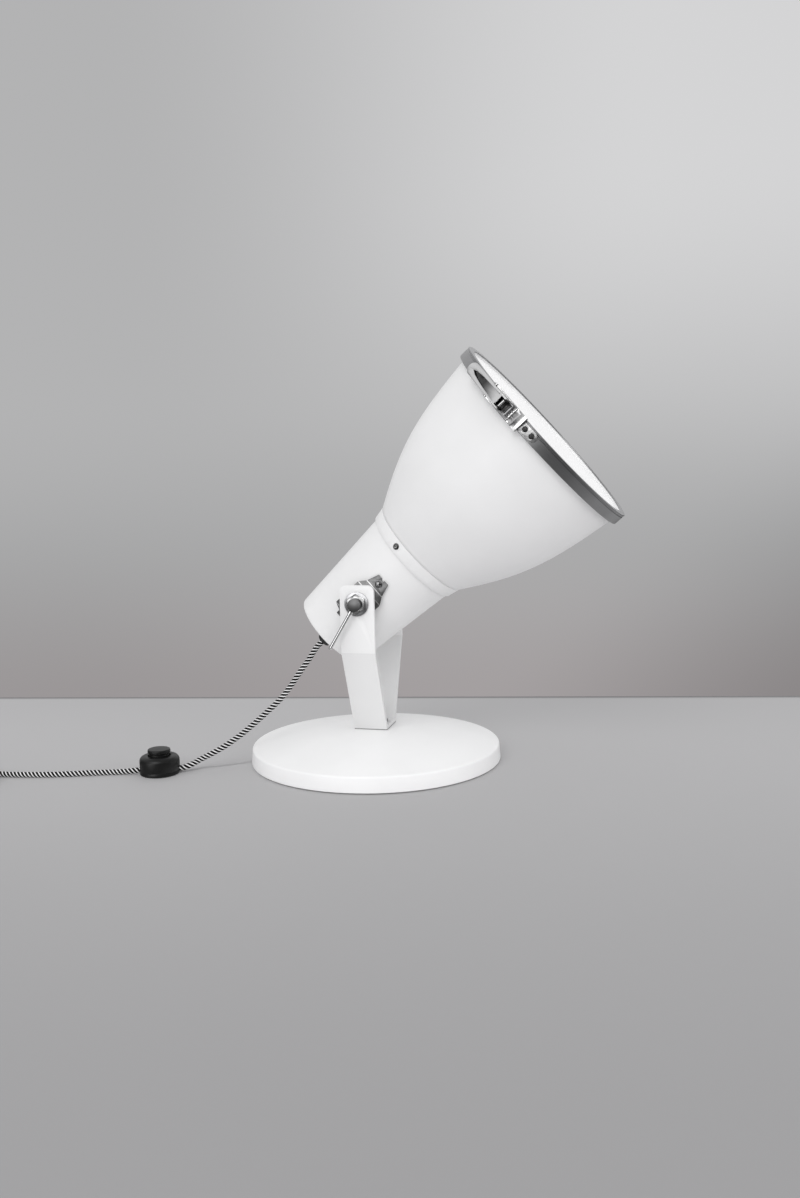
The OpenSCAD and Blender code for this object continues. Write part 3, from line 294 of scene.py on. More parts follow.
def lathe(name, profile, origin, axes, sectors, turn=None):
    """A profile of (radius, height) pairs carried round the third axis: at angle a the point is
    origin + radius (cos a, sin a) on the first two axes + height on the third. An outline that
    starts and ends on the axis closes there; any other outline is a loop. turn limits the angles,
    in degrees."""
    profile = np.asarray(profile, float) * MM
    on_axis = profile[0, 0] < ON_AXIS and profile[-1, 0] < ON_AXIS
    if on_axis:
        profile[[0, -1], 0] = PIN_HOLE
    angles = np.arange(sectors) * 2 * math.pi / sectors
    if turn is not None:
        angles = np.radians(np.linspace(turn[0], turn[1], sectors))
    radius, height = profile.T
    local = np.stack([np.outer(np.cos(angles), radius), np.outer(np.sin(angles), radius),
                      np.broadcast_to(height, (sectors, len(profile)))], -1)
    grid = np.asarray(origin) + local @ np.asarray(axes)
    if on_axis:
        return skin(name, grid.transpose(1, 0, 2), loop_rows=False)
    return skin(name, grid, loop_rows=turn is None)


UPRIGHT = np.eye(3)
TILT = math.radians(41.6)
PIVOT = np.array([0, 0, 197 * MM])
AXIS_OFF_PIVOT = 2 * MM
HEAD = np.array([[math.sin(TILT), 0, -math.cos(TILT)], [0, 1, 0],
                 [math.cos(TILT), 0, math.sin(TILT)]])
HEAD_AT = PIVOT - AXIS_OFF_PIVOT * HEAD[0]
print("head axis", HEAD[2].round(3))

# %% [markdown]
# ## Cord
# The flex is one fixed length of braided cloth over round cable, 6.4 mm thick. It leaves the
# grommet straight, hangs to the foot switch, lies along the floor and ends in a coil past the left
# edge of the picture. A curve object with a round bevel would draw it too, but its UV map stretches
# with the points. So a smooth curve carries rings of points, and the tube's own UV map, turns round
# the cord and metres along it, lets the stripes wind like the braid's threads.


# %% Curves and tubes
FEWEST_STEPS = 8


def unit(rows):
    """Each row divided by its length."""
    return rows / np.linalg.norm(rows, axis=-1, keepdims=True)


def steps_of(path):
    """The length of each step of a path."""
    return np.linalg.norm(np.diff(path, axis=0), axis=1)


def smooth(points, step):
    """A natural cubic spline through the points, by chord length: the second derivatives solve the
    usual three-term equations, and the curve is read again at equal steps."""
    points = np.asarray(points, float)
    chord = steps_of(points)
    s = np.concatenate([[0], np.cumsum(chord)])
    n = len(points)
    k = np.arange(1, n - 1)
    system, side = np.eye(n), np.zeros((n, 3))
    system[k, k - 1], system[k, k + 1] = chord[:-1], chord[1:]
    system[k, k] = 2 * (chord[:-1] + chord[1:])
    side[1:-1] = 6 * np.diff(np.diff(points, axis=0) / chord[:, None], axis=0)
    curve = np.linalg.solve(system, side)
    u = np.linspace(0, s[-1], max(int(s[-1] / step), FEWEST_STEPS) + 1)
    i = np.clip(np.searchsorted(s, u) - 1, 0, n - 2)
    h, a, b = chord[i, None], (s[i + 1] - u)[:, None], (u - s[i])[:, None]
    return ((curve[i] * a**3 + curve[i + 1] * b**3) / (6 * h)
            + (points[i] / h - curve[i] * h / 6) * a
            + (points[i + 1] / h - curve[i + 1] * h / 6) * b)


def tube(name, path, radius, sides, flat_ref):
    """A round tube on a path: each ring lies square to the path, its first spoke square to
    flat_ref. The UV map holds turns round the tube and metres along it."""
    heading = unit(np.gradient(path, axis=0))
    one = unit(np.cross(heading, flat_ref))
    two = np.cross(one, heading)
    angle = np.arange(sides) * 2 * math.pi / sides
    spokes = np.cos(angle)[:, None] * one[:, None] + np.sin(angle)[:, None] * two[:, None]
    metres = np.concatenate([[0], np.cumsum(steps_of(path))])
    uv = np.stack(np.broadcast_arrays(np.arange(sides)[None] / sides, metres[:, None]), -1)
    return skin(name, path[:, None] + radius * spokes, loop_rows=False, uv=uv)


# %% Hanging cord and the cord inside the housing
CORD_D = 6.4
CORD_EXIT = (4.5, -38)
SWITCH_AT = np.array([-234.2, -108.0, 0.0])
SWITCH_TURN = math.radians(20)
SWITCH_X = np.array([math.cos(SWITCH_TURN), math.sin(SWITCH_TURN), 0.0])
PORT_OUT, PORT_Z = 17.05, 5


def in_head(x, y, s):
    """A point of the head's frame, in millimetres, in the lamp's frame."""
    return HEAD_AT / MM + np.array([x, y, s]) @ HEAD


def by_switch(x, z):
    """A point on the switch's cord line, x millimetres from its middle."""
    return SWITCH_AT + SWITCH_X * x + np.array([0, 0, z])


hanging = [in_head(*CORD_EXIT, -69.55), in_head(*CORD_EXIT, -78.5),
           [-66, -40, 130], [-77, -44.5, 114], [-88, -48.5, 97.5], [-99, -53, 83], [-113, -58, 69],
           [-129, -63.5, 54.5], [-145, -69, 41], [-161, -75, 29.5], [-178, -81.5, 19.5],
           [-194, -88, 11.5], by_switch(31, 6.4), by_switch(24, PORT_Z),
           by_switch(PORT_OUT, PORT_Z)]
inside = [in_head(*CORD_EXIT, -69.5), in_head(*CORD_EXIT, -52.5), in_head(4.3, -36, -38.5),
          in_head(3.5, -29.5, -22.5), in_head(2.5, -19.5, -4.5), in_head(1, -8.5, 13.5),
          in_head(0.3, -2.2, 29.5), in_head(0, 0, 54.6), in_head(0, 0, 68.6), in_head(0, 0, 88.6)]
upper_path = smooth(hanging, step=2.0) * MM
inside_path = smooth(inside, step=4.0) * MM
print("hanging and inside:", len(upper_path), len(inside_path), "points")

# %% Lying cord and its coil
COIL_AT = np.array([-456.0, -202.5])
COIL_IN, COIL_STEP, COIL_TURNS, TURN_POINTS = 29.0, 7.2, 2.5, 24
COIL_LOW = 4.6
COIL_HIGH = COIL_LOW + COIL_STEP
COIL_SIDE = COIL_AT[1] + COIL_IN + COIL_TURNS * COIL_STEP
PLUG_R, PLUG_X = 17.5, COIL_AT[0] - 58
FLOOR_Z = CORD_D / 2 + 0.1
lying = [by_switch(-PORT_OUT, PORT_Z), by_switch(-24, PORT_Z), by_switch(-32, 4.4),
         [-282, -123, FLOOR_Z], [-298, -127.8, FLOOR_Z], [-316, -133.5, FLOOR_Z],
         [-334, -140, FLOOR_Z], [-352, -145.5, FLOOR_Z], [-370, -149.5, FLOOR_Z],
         [-388, -152.5, FLOOR_Z], [-406, -154.5, FLOOR_Z],
         [-424, COIL_SIDE, (FLOOR_Z + COIL_LOW) / 2], [-432, COIL_SIDE, COIL_LOW],
         [-448, COIL_SIDE, COIL_LOW]]
# The coil winds inwards on the floor, climbs one step in its middle half turn and winds out again.
part_turn = np.arange(0, 2 * COIL_TURNS * TURN_POINTS + 1) / TURN_POINTS
from_middle = part_turn - COIL_TURNS
coil_r = COIL_IN + COIL_STEP * np.abs(from_middle)
lift = np.clip(2 * from_middle + 0.5, 0, 1)
coil_z = COIL_LOW + COIL_STEP * lift**2 * (3 - 2 * lift)
coil_angle = np.radians(90 + 360 * part_turn)
wound = np.stack([COIL_AT[0] + coil_r * np.cos(coil_angle),
                  COIL_AT[1] + coil_r * np.sin(coil_angle), coil_z], -1)
to_plug = [[COIL_AT[0] - 16, COIL_SIDE, COIL_HIGH + 0.6],
           [COIL_AT[0] - 32, COIL_SIDE, (COIL_HIGH + PLUG_R) / 2],
           [PLUG_X + 12.4, COIL_SIDE, PLUG_R - 0.5], [PLUG_X + 6.4, COIL_SIDE, PLUG_R],
           [PLUG_X + 0.05, COIL_SIDE, PLUG_R]]
lower_path = smooth(np.vstack([lying, wound, to_plug]), step=2.5) * MM

# %% [markdown]
# ## Braid
# The cloth over the cable is black with a white stripe that winds round it. An image could show it,
# but the stripe is only a place on a screw line: turns round the cord plus metres along it. Two
# crossing waves give the single threads, and a fine noise gives the fuzz.

# %% Braided flex
BRAID_PITCH, BRAID_STARTS = 4.5 * MM, 3
STRIPE_EDGE = (0.14, 0.19)
THREADS, THREAD_RUN = 24, 1.1 * MM
WHITE_YARN, BLACK_YARN = 0.80, 0.005
braid, wire = finish("braided_flex", Specular_IOR_Level=0.2)
place = wire.node("ShaderNodeUVMap", {"uv_map": "along"})
turn_round, run_along = place.part(0), place.part(1)
thread = turn_round * BRAID_STARTS + run_along / BRAID_PITCH
stripe = (thread.sum_of("FRACT", thread) - 0.5).size().ramp(*STRIPE_EDGE)
weave = ((turn_round * THREADS - run_along / THREAD_RUN).wave()
         * (turn_round * THREADS + run_along / THREAD_RUN).wave())
fuzz = wire.noise(2600, 3.0)
feed(braid, Base_Color=(stripe * (0.96 + fuzz * 0.08)).tint(WHITE_YARN, BLACK_YARN),
     Roughness=0.72 + fuzz * 0.2, Normal=(weave * 0.5 + fuzz * 0.4).bump(0.2, 0.2 * MM))
print(BRAID_STARTS, "stripes, one every", round(BRAID_PITCH / MM, 1), "mm of cord")

# %% [markdown]
# ## Cord pieces
# The drawn cord takes the place of the plain solids. The hanging stretch runs from the head to the
# switch on the floor and is drawn where it hangs, its place written into its points; the lying
# stretch rides with the stand and the stretch inside the housing with the head.

# %% Cord pieces
CORD_R = CORD_D * MM / 2
flex_upper = tube("flex_upper", upper_path, CORD_R, sides=20, flat_ref=(0, 1, 0))
flex_lower = tube("flex_lower", lower_path, CORD_R, sides=16, flat_ref=(0, 0, 1))
flex_inside = tube("flex_inside", inside_path, CORD_R, sides=16, flat_ref=(0, 1, 0))
for piece, replaced in ((flex_upper, ["cord_upper"]), (flex_lower, ["cord_lower", "cord_coil"]),
                        (flex_inside, ["cord_tail"])):
    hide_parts(*replaced)
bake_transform(flex_upper)
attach(flex_lower, "stand")
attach(flex_inside, "head")
print("cord rings:", len(upper_path), len(lower_path), len(inside_path))

# %% [markdown]
# ## Bell
# The bell was spun from sheet, so it shows one unbroken curve from neck to mouth. A smoothed cage
# would come close, but the outline here is the same four-point curve as the solid's, which a lathe
# carries round. The inner wall is that curve moved inwards by the sheet, and a flange closes it at
# each end.

# %% Bell
NECK_R, NECK_AT, NECK_PULL, NECK_SLOPE = 65.3, 84.7, 64, 0.57
MOUTH_R, MOUTH_AT, MOUTH_PULL, MOUTH_SLOPE = 121, 267.9, 90, 0.103
SHEET, INNER_END = 1.6, 3


def bell_curve(t):
    """The four-point curve: the points weighted by (1-t)^3, 3 (1-t)^2 t, 3 (1-t) t^2 and t^3."""
    ends = np.array([[NECK_R, NECK_AT], [NECK_R + NECK_PULL * NECK_SLOPE, NECK_AT + NECK_PULL],
                     [MOUTH_R - MOUTH_PULL * MOUTH_SLOPE, MOUTH_AT - MOUTH_PULL],
                     [MOUTH_R, MOUTH_AT]])
    return np.stack([(1 - t) ** 3, 3 * (1 - t) ** 2 * t, 3 * (1 - t) * t**2, t**3], -1) @ ends


bell_out = bell_curve(np.linspace(0, 1, num=60))
slope = unit(np.gradient(bell_out, axis=0))
bell_in = bell_out + SHEET * np.stack([-slope[:, 1], slope[:, 0]], -1)
rim = rounded([[121.3, 267.95], [125.2, 267.95], [125.2, 269.45], [119.4, 269.45]],
              [0.3, 0.6, 0.6, 0.3])
neck_flange = [[64.8, 86.3], [52.3, 86.3], [52, 86.0], [52, 85.0], [52.3, 84.7]]
bell_outline = np.vstack([bell_out[:-1], rim, bell_in[-2:INNER_END:-1], neck_flange])
bell = lathe("bell_shade", bell_outline, HEAD_AT, HEAD, sectors=224)
print("bell:", len(bell.data.polygons), "faces")

# %% [markdown]
# ## Housing and base cover
# The can behind the bell and the cover of the base are pressings with soft edges. Bevelled cones
# would do, but an outline with its corners rounded before it is turned keeps the long walls
# straight and the edges even. The base falls from its flat middle by a power of the distance, as a
# drawn sheet does, and ends in a nearly upright wall.

# %% Housing and base cover
can = rounded([[0.0, -64.5], [49.6, -64.5], [60.2, 70], [58.6, 70], [58.6, 82.6], [56.1, 82.6],
               [56.1, 67], [47.1, -62], [0.0, -62]],
              [0, 2.5, 0.5, 0.3, 0.5, 0.3, 0.5, 0.5, 0], steps=8)
housing = lathe("housing_can", can, HEAD_AT, HEAD, sectors=192)

FLAT, EDGE_R, EDGE_ROUND, INSET = 32.0, 146.2, 2.5, 1.0
TOP_Z, FALL, FALL_POWER, PLATE = 40, 20, 1.5, 2.5
LIP_FROM = 72
dome_r = np.linspace(FLAT, EDGE_R - INSET, num=40)
dome_z = TOP_Z - FALL * ((dome_r - FLAT) / (EDGE_R - FLAT)) ** FALL_POWER
lip = np.radians(np.linspace(LIP_FROM, 0, num=8))
edge = np.stack([EDGE_R + EDGE_ROUND * np.cos(lip),
                 TOP_Z - FALL - EDGE_ROUND + EDGE_ROUND * np.sin(lip)], -1)
foot = [[149.95, 2.4], [149.7, 1.6], [149.2, 1.5], [148.0, 1.5], [147.5, 1.8], [146.3, 15.0]]
under = np.stack([dome_r[::-1] - INSET, dome_z[::-1] - PLATE], -1)
cover = np.vstack([[[0, TOP_Z], [FLAT / 2, TOP_Z]], np.stack([dome_r, dome_z], -1), edge, foot,
                   under, [[FLAT / 2, TOP_Z - PLATE], [0, TOP_Z - PLATE]]])
base = lathe("base_cover", cover, (0, 0, 0), UPRIGHT, sectors=224)
for piece, body, replaced in ((bell, "head", "shade"), (housing, "head", "housing"),
                              (base, "stand", "base_shell")):
    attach(piece, body)
    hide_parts(replaced)
print("housing and base:", len(housing.data.polygons), len(base.data.polygons), "faces")

# %% [markdown]
# ## Soft edges on the solids
# The flat bar, the folded brackets, nuts and latch have the right shape already, but a real edge is
# never knife sharp. They could be modelled again, yet a copy of the solid is enough: it is welded,
# its flat triangles are joined, and a narrow bevel breaks every edge, so that light catches it.

# %% Bevelled copies
WELD, FLAT_WITHIN, SHARP_FROM = 1e-6, math.radians(0.5), math.radians(32)


def softened(node, width):
    """A welded copy of a solid with its edges broken by a bevel of that width in millimetres."""
    mesh = nodes[node].data.copy()
    mesh.name = node + "_soft"
    work = bmesh.new()
    work.from_mesh(mesh)
    bmesh.ops.remove_doubles(work, verts=work.verts, dist=WELD)
    bmesh.ops.dissolve_limit(work, angle_limit=FLAT_WITHIN, verts=work.verts, edges=work.edges)
    bmesh.ops.recalc_face_normals(work, faces=work.faces)
    work.to_mesh(mesh)
    work.free()
    mesh.materials.clear()
    mesh.shade_smooth()
    made = placed(node + "_soft", mesh)
    bevel = made.modifiers.new("edge", "BEVEL")
    bevel.width, bevel.segments = width * MM, 2
    bevel.limit_method, bevel.angle_limit = "ANGLE", SHARP_FROM
    bevel.use_clamp_overlap = bevel.harden_normals = True
    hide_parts(node)
    return made


BEVELS = {
    "stand": {"stirrup": 0.6, "pivot_washers": 0.3, "stirrup_bolts": 0.4, "switch_cover": 0.12,
              "switch_base": 0.12, "plug_body": 0.5, "plug_pins": 0.2, "coil_tie": 0.3},
    "head": {"collar": 0.35, "bracket_near": 0.4, "bracket_far": 0.4, "bracket_screws": 0.2,
             "collar_screws": 0.2, "far_nut": 0.4, "friction_washers": 0.1, "grommet": 0.3,
             "latch_base": 0.2, "latch_catch": 0.25, "latch_rivets": 0.2},
    "lock": {"lock_nut": 0.4},
    "latch_lever": {"latch_lever": 0.45},
    "latch_loop": {"latch_loop": 0.25},
}
soft = {}
for body, widths in BEVELS.items():
    for node, width in widths.items():
        soft[node] = softened(node, width)
        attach(soft[node], body)
print(len(soft), "pieces with broken edges")

# %% [markdown]
# ## Clamp band and button
# The band that holds the glass is rolled strip: a shallow bead runs along it beside the front lip,
# and its two ends stop short of each other under the latch. The foot button is a turned mushroom
# whose cap stands clear of the cover. Both are turned outlines, the band over part of a turn only.
# The spring under the button is its solid, given a mesh of its own.

# %% Band and button
BAND_GAP, HALF_TURN = (76.5, 82.5), 180
strip = rounded([[121.5, 266.25], [126.9, 266.25], [126.9, 276.9], [126.3, 277.3], [126.3, 278.1],
                 [126.9, 278.5], [126.9, 280.15], [118.8, 280.15], [118.8, 278.55],
                 [125.3, 278.55], [125.3, 267.85], [121.5, 267.85]],
                [0.5, 0.6, 0.3, 0.3, 0.3, 0.3, 0.8, 0.5, 0.5, 0.3, 0.3, 0.5], steps=4)
band = lathe("clamp_band", strip, HEAD_AT, HEAD, sectors=240,
             turn=(HALF_TURN + BAND_GAP[1], 3 * HALF_TURN + BAND_GAP[0]))
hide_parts("band")
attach(band, "head")

cap = rounded([[0, 30.2], [13.25, 29.5], [13.25, 25.6], [11.85, 24.8], [11.85, 19.9], [14.9, 19.9],
               [14.9, 17.9], [9.0, 17.9], [9.0, 27.7], [0, 27.7]],
              [0, 3.5, 1.0, 0.4, 0.2, 0.3, 0.3, 0.3, 0.5, 0], steps=7)
SWITCH_AXES = np.array([SWITCH_X, [-SWITCH_X[1], SWITCH_X[0], 0], [0, 0, 1]])
button = lathe("mushroom_button", cap, SWITCH_AT * MM, SWITCH_AXES, sectors=96)
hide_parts("switch_button")
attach(button, "button")
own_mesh(nodes["switch_spring"])
print("band and button:", len(band.data.polygons), len(button.data.polygons), "faces")

# %% [markdown]
# ## White paint
# Satin stove enamel: nearly white, a faint orange-peel in the gloss and slightly uneven roughness.
# A flat colour with a flat gloss would look like plastic. The flat bar of the stirrup is painted
# too, and its colour carries painted shade: a darker lower half and a thin dark line at the bend,
# where light falls differently on the two slopes, and a painted shadow round its foot where it
# stands on the base. All are places in height, so they are ramps on the object's own z.

# %% Paint
PEEL_GRAIN, CLOUD_GRAIN, DRIFT = 420, 14, 0.015


def enamel(name, tone_of):
    """Satin paint: a slow cloud shifts the gloss and goes to tone_of, which makes the colour of
    it, and a fine peel dents the surface."""
    made, wire = finish(name, Specular_IOR_Level=0.35)
    peel, cloud = wire.noise(PEEL_GRAIN), wire.noise(CLOUD_GRAIN, 3.0)
    feed(made, Base_Color=tone_of(cloud), Roughness=0.40 + cloud * 0.08 + peel * 0.04,
         Normal=peel.bump(0.10, 0.2 * MM))


def even(tone):
    """One tone that drifts with the cloud by a small share either way."""
    return lambda cloud: cloud.stretched().tint((1 - DRIFT) * tone, (1 + DRIFT) * tone)


# %% Paint of the flat bar
# The bend's step and line are painted shade; the dark line at the foot is a painted shadow.
BEND_Z, BEND_HALF, BEND_SHADE_STEP, BEND_SHADE_DARK = 140 * MM, 0.7 * MM, 0.075, 0.04
FOOT_Z, FOOT_SHADOW_WIDTH, FOOT_SHADOW_DARK = 40 * MM, 1.1 * MM, 0.85
BAR_SHADED_TONE, BAR_DRIFT = 0.755, 0.03


def bar_with_painted_shade(cloud):
    """Bar tone plus a painted shade step at the bend, less a painted shade line, times a foot
    shadow.
    """
    above = cloud.place().part(2) - BEND_Z
    # Painted shade at the bend, and a painted shadow where the foot stands on the base.
    bend_shade_line = 1 - above.size().ramp(0.3 * BEND_HALF, BEND_HALF)
    foot_shadow = 1 - (above + (BEND_Z - FOOT_Z)).ramp(0.6 * FOOT_SHADOW_WIDTH, FOOT_SHADOW_WIDTH)
    step = above.ramp(-BEND_HALF, BEND_HALF) * BEND_SHADE_STEP
    tone = step + cloud * BAR_DRIFT + BAR_SHADED_TONE - bend_shade_line * BEND_SHADE_DARK
    return (tone * (1 - foot_shadow * FOOT_SHADOW_DARK)).tint(0.0, 1.0)


# The base's enamel is a lighter copy of the same white: painted light.
for name, tone_of in (("white_enamel", even(0.812)), ("base_enamel_painted_light", even(0.90)),
                      ("strap_enamel_with_shade", bar_with_painted_shade)):
    enamel(name, tone_of)
print(len(looks), "finishes with the paints")

# %% [markdown]
# ## Plain metals
# Pressed steel, zinc, chrome, brass, cast iron and screws in several tones meet at this lamp. Each
# could be a flat metal, but real ones differ in how rough they are and how unevenly, so one noise
# moves tone and roughness together, and dents the rougher ones.

# %% Plain metals
DENT_DEPTH = 0.2 * MM


def metal(name, dark, light, rough, spread, scale, dent=0.0):
    """A metal: one noise takes its tone from dark to light and adds up to spread to rough."""
    made, wire = finish(name, Metallic=1.0)
    grain = wire.noise(scale, 3.0, 0.6)
    feed(made, Base_Color=grain.stretched().tint(dark, light), Roughness=rough + grain * spread)
    if dent:
        feed(made, Normal=grain.bump(dent, DENT_DEPTH))


METALS = {
    # name: dark tone, light tone, roughness, its spread, grains in a metre, strength of the dents
    "bright_steel": (0.50, 0.62, 0.10, 0.12, 500),
    "plated_steel": ((0.50, 0.50, 0.51), (0.62, 0.62, 0.63), 0.22, 0.16, 700),
    "dull_zinc": (0.26, 0.34, 0.30, 0.20, 260, 0.15),
    "chrome": (0.58, 0.66, 0.04, 0.05, 900),
    "plated_brass": ((0.62, 0.47, 0.20), (0.72, 0.57, 0.28), 0.25, 0.15, 600),
    "cast_iron": (0.09, (0.16, 0.16, 0.165), 0.55, 0.25, 240, 0.8),
    "dark_rivet": (0.04, 0.08, 0.40, 0.20, 700),
    "screw_steel": (0.24, 0.34, 0.12, 0.10, 700),
    "dark_screw": (0.13, 0.22, 0.05, 0.06, 700),
    # Painted shade: the latch's base plate lies shaded under the loop and is made nearly black.
    "painted_shade_plate": (0.03, 0.07, 0.25, 0.15, 500),
    "catch_steel": (0.46, 0.56, 0.34, 0.12, 500),
}
for name, row in METALS.items():
    metal(name, *row)
print(len(METALS), "plain metals")

# %% [markdown]
# ## Metals that change along the piece
# The folded brackets carry a painted highlight on their folds, and the strip round the rim is
# brushed in lines along the rim. The clamp nut has a bright hexagon and a dark barrel, and the
# latch's pressed cap has painted shade in its dish. Painted masks could show that, but each is a
# place along one direction, so the distance along it drives the tone.


# %% Folded and brushed metals
def along(wire, axis, origin):
    """How far, in metres, the shaded point lies from an origin along an axis."""
    return wire.place().dot(axis) - float(np.dot(axis, origin))


FOLDS, FOLD_HIGHLIGHT_HALF = (-23.9, -18.6, 17.4, 25.4), 0.8 * MM
folded, wire = finish("zinc_with_fold_highlights", Metallic=1.0)
grain = wire.noise(260, 3.0, 0.6)
from_pivot = along(wire, HEAD[2], HEAD_AT)
# Painted highlight: a narrow lighter band on each fold.
painted_fold_highlight = sum(1 - (from_pivot - fold * MM).size().ramp(0.3 * FOLD_HIGHLIGHT_HALF, FOLD_HIGHLIGHT_HALF)
             for fold in FOLDS)
feed(folded, Base_Color=(painted_fold_highlight * 0.75 + grain.stretched() * 0.12).tint(0.16, 0.72),
     Roughness=0.30 + grain * 0.2, Normal=grain.bump(0.15, DENT_DEPTH))

BRUSH_LINES = 2600.0
strip_steel, wire = finish("strip_steel", Metallic=1.0)
lines = wire.node("ShaderNodeTexNoise", {"noise_dimensions": "1D"},
                  {"W": along(wire, HEAD[2], HEAD_AT), "Scale": BRUSH_LINES, "Detail": 3.0})
smear = wire.noise(40, 3.0)
feed(strip_steel, Roughness=0.26 + smear * 0.10 + lines * 0.08, Normal=lines.bump(0.12, 0.1 * MM),
     Base_Color=(lines * 0.7 + smear * 0.3).stretched().tint((0.28, 0.28, 0.285),
                                                             (0.42, 0.42, 0.425)))
print("folds at", FOLDS, "mm from the pivot")

# %% Clamp nut and latch lever
BARREL_FROM, BARREL_FULL = 72.2 * MM, 72.4 * MM
nut_steel, wire = finish("nut_steel", Metallic=1.0)
barrel = along(wire, (0, -1, 0), (0, 0, 0)).ramp(BARREL_FROM, BARREL_FULL)
grain = wire.noise(500, 3.0)
feed(nut_steel, Base_Color=barrel.tint(0.52, 0.15),
     Roughness=0.18 + barrel * 0.10 + grain * 0.12)

LEVER_AT, LEVER_LEAN = math.radians(180 + 72), math.radians(13)
PIN_R, PIN_S = 134.5, 273.2
DISH_SHADE_TOP, CROWN = 0.4 * MM, 4.2 * MM
outward = np.array([math.cos(LEVER_AT - LEVER_LEAN), math.sin(LEVER_AT - LEVER_LEAN), 0])
lever_pin = in_head(PIN_R * math.cos(LEVER_AT), PIN_R * math.sin(LEVER_AT), PIN_S) * MM
# Painted shade: the lever is dark in its dish and lightens towards its crown.
lever_steel_dish_shade, wire = finish("lever_steel_dish_shade", Metallic=1.0)
rise = along(wire, outward @ HEAD, lever_pin)
grain = wire.noise(500, 3.0)
feed(lever_steel_dish_shade, Base_Color=(rise.ramp(DISH_SHADE_TOP, CROWN) * 0.9 + grain * 0.1).tint(0.05, 0.92),
     Roughness=0.14 + grain * 0.14)
print("lever pin at", lever_pin.round(3).tolist())

# %% [markdown]
# ## Glass, rubber and plastic
# The opal disc has a little glow of its own: painted light that lifts its tone. Subsurface
# scattering, which a real opal disc shows, is slow and noisy on a thin disc and is not used. The
# gasket under the lip is milky silicone. The switch and the plug are moulded with a fine spark
# texture.

# %% Soft and glassy finishes
# Painted light: the disc's glow.
opal, wire = finish("opal_glass_painted_glow", Specular_IOR_Level=0.2, Emission_Strength=0.14)
cloud = wire.noise(20, 2.0)
feed(opal, Base_Color=cloud.stretched().tint(0.90, 0.93), Roughness=0.45 + cloud * 0.1,
     Emission_Color=cloud.stretched().tint(0.97, 1.0))


def moulded(name, dark, light, rough, spread, scale, height, gloss=0.5):
    """A moulded or cast surface: one fine noise gives tone, roughness and texture."""
    made, wire = finish(name, Specular_IOR_Level=gloss)
    grain = wire.noise(scale, 3.0, 0.6)
    feed(made, Base_Color=grain.stretched().tint(dark, light), Roughness=rough + grain * spread,
         Normal=grain.bump(0.3, height))


MOULDED = {
    # name: dark tone, light tone, roughness, its spread, grains in a metre, grain height, gloss
    "black_plastic": (0.006, 0.011, 0.32, 0.14, 1500, 0.1 * MM, 0.35),
    "black_rubber": (0.012, 0.020, 0.60, 0.20, 900, 0.2 * MM),
    "milky_silicone": (0.78, 0.84, 0.40, 0.15, 400, 0.1 * MM),
    "glazed_ceramic": ((0.80, 0.79, 0.76), (0.86, 0.85, 0.82), 0.10, 0.12, 120, 0.1 * MM),
    "woven_strap": ((0.012, 0.012, 0.013), (0.035, 0.035, 0.037), 0.70, 0.20, 2200, 0.4 * MM),
    "frosted_bulb": ((0.86, 0.86, 0.83), (0.92, 0.92, 0.89), 0.35, 0.15, 300, 0.05 * MM),
}
for name, row in MOULDED.items():
    moulded(name, *row)
print(len(looks), "finishes")

# %% [markdown]
# ## Who wears what
# Every piece has its finish by the name of the solid it is or stands for. One table does it, so a
# new piece and the solid behind it can't differ. Washers, bolts and the like are plated steel.

# %% Finishes on the pieces
FINISHES = {
    "white_enamel": ["housing", "shade", "collar"],
    "strap_enamel_with_shade": ["stirrup"],
    # The base wears the lighter copy of the white, which is painted light.
    "base_enamel_painted_light": ["base_shell"],
    "cast_iron": ["base_weight"],
    "black_rubber": ["base_pad", "grommet"],
    "milky_silicone": ["gasket"],
    "opal_glass_painted_glow": ["glass"],
    "frosted_bulb": ["bulb"],
    "glazed_ceramic": ["lampholder"],
    "plated_brass": ["holder_nut"],
    # The brackets wear zinc with painted highlights on their folds.
    "zinc_with_fold_highlights": ["bracket_near", "bracket_far"],
    "dull_zinc": ["friction_washers", "bracket_rivets"],
    # The lever's steel has painted shade in its dish.
    "lever_steel_dish_shade": ["latch_lever"],
    "chrome": ["lock_bar"],
    "nut_steel": ["lock_nut"],
    "strip_steel": ["band"],
    "bright_steel": ["latch_loop", "latch_pin", "loop_pin"],
    # The latch's base plate wears painted shade.
    "painted_shade_plate": ["latch_base"],
    "catch_steel": ["latch_catch"],
    "screw_steel": ["bracket_screws"],
    "dark_screw": ["collar_screws"],
    "dark_rivet": ["latch_rivets"],
    "black_plastic": ["switch_base", "switch_cover", "switch_button", "switch_core", "plug_body"],
    "woven_strap": ["coil_tie"],
    "braided_flex": ["cord_upper", "cord_lower", "cord_coil", "cord_tail"],
}
worn = {node: looks[look] for look, named in FINISHES.items() for node in named}
made_new = [("shade", bell), ("housing", housing), ("base_shell", base), ("band", band),
            ("switch_button", button), ("cord_upper", flex_upper), ("cord_lower", flex_lower),
            ("cord_tail", flex_inside), *soft.items()]
for node, piece in [*nodes.items(), *made_new]:
    piece.data.materials.clear()
    piece.data.materials.append(worn.get(node, looks["plated_steel"]))
print(len(nodes), "solids and", len(made_new), "new pieces have a finish")

# %% [markdown]
# ## Floor
# A pale grey floor that ends where the photograph's floor meets its backdrop. A curved backdrop
# sheet would do as well, but the photograph shows a seam, so a flat sheet stops at the two pixels
# where the seam leaves the picture.

# %% Floor
SEAM_PX = ((0, 697.5), (800, 696.0))
FLOOR_HALF, FLOOR_DEEP = 6, 8


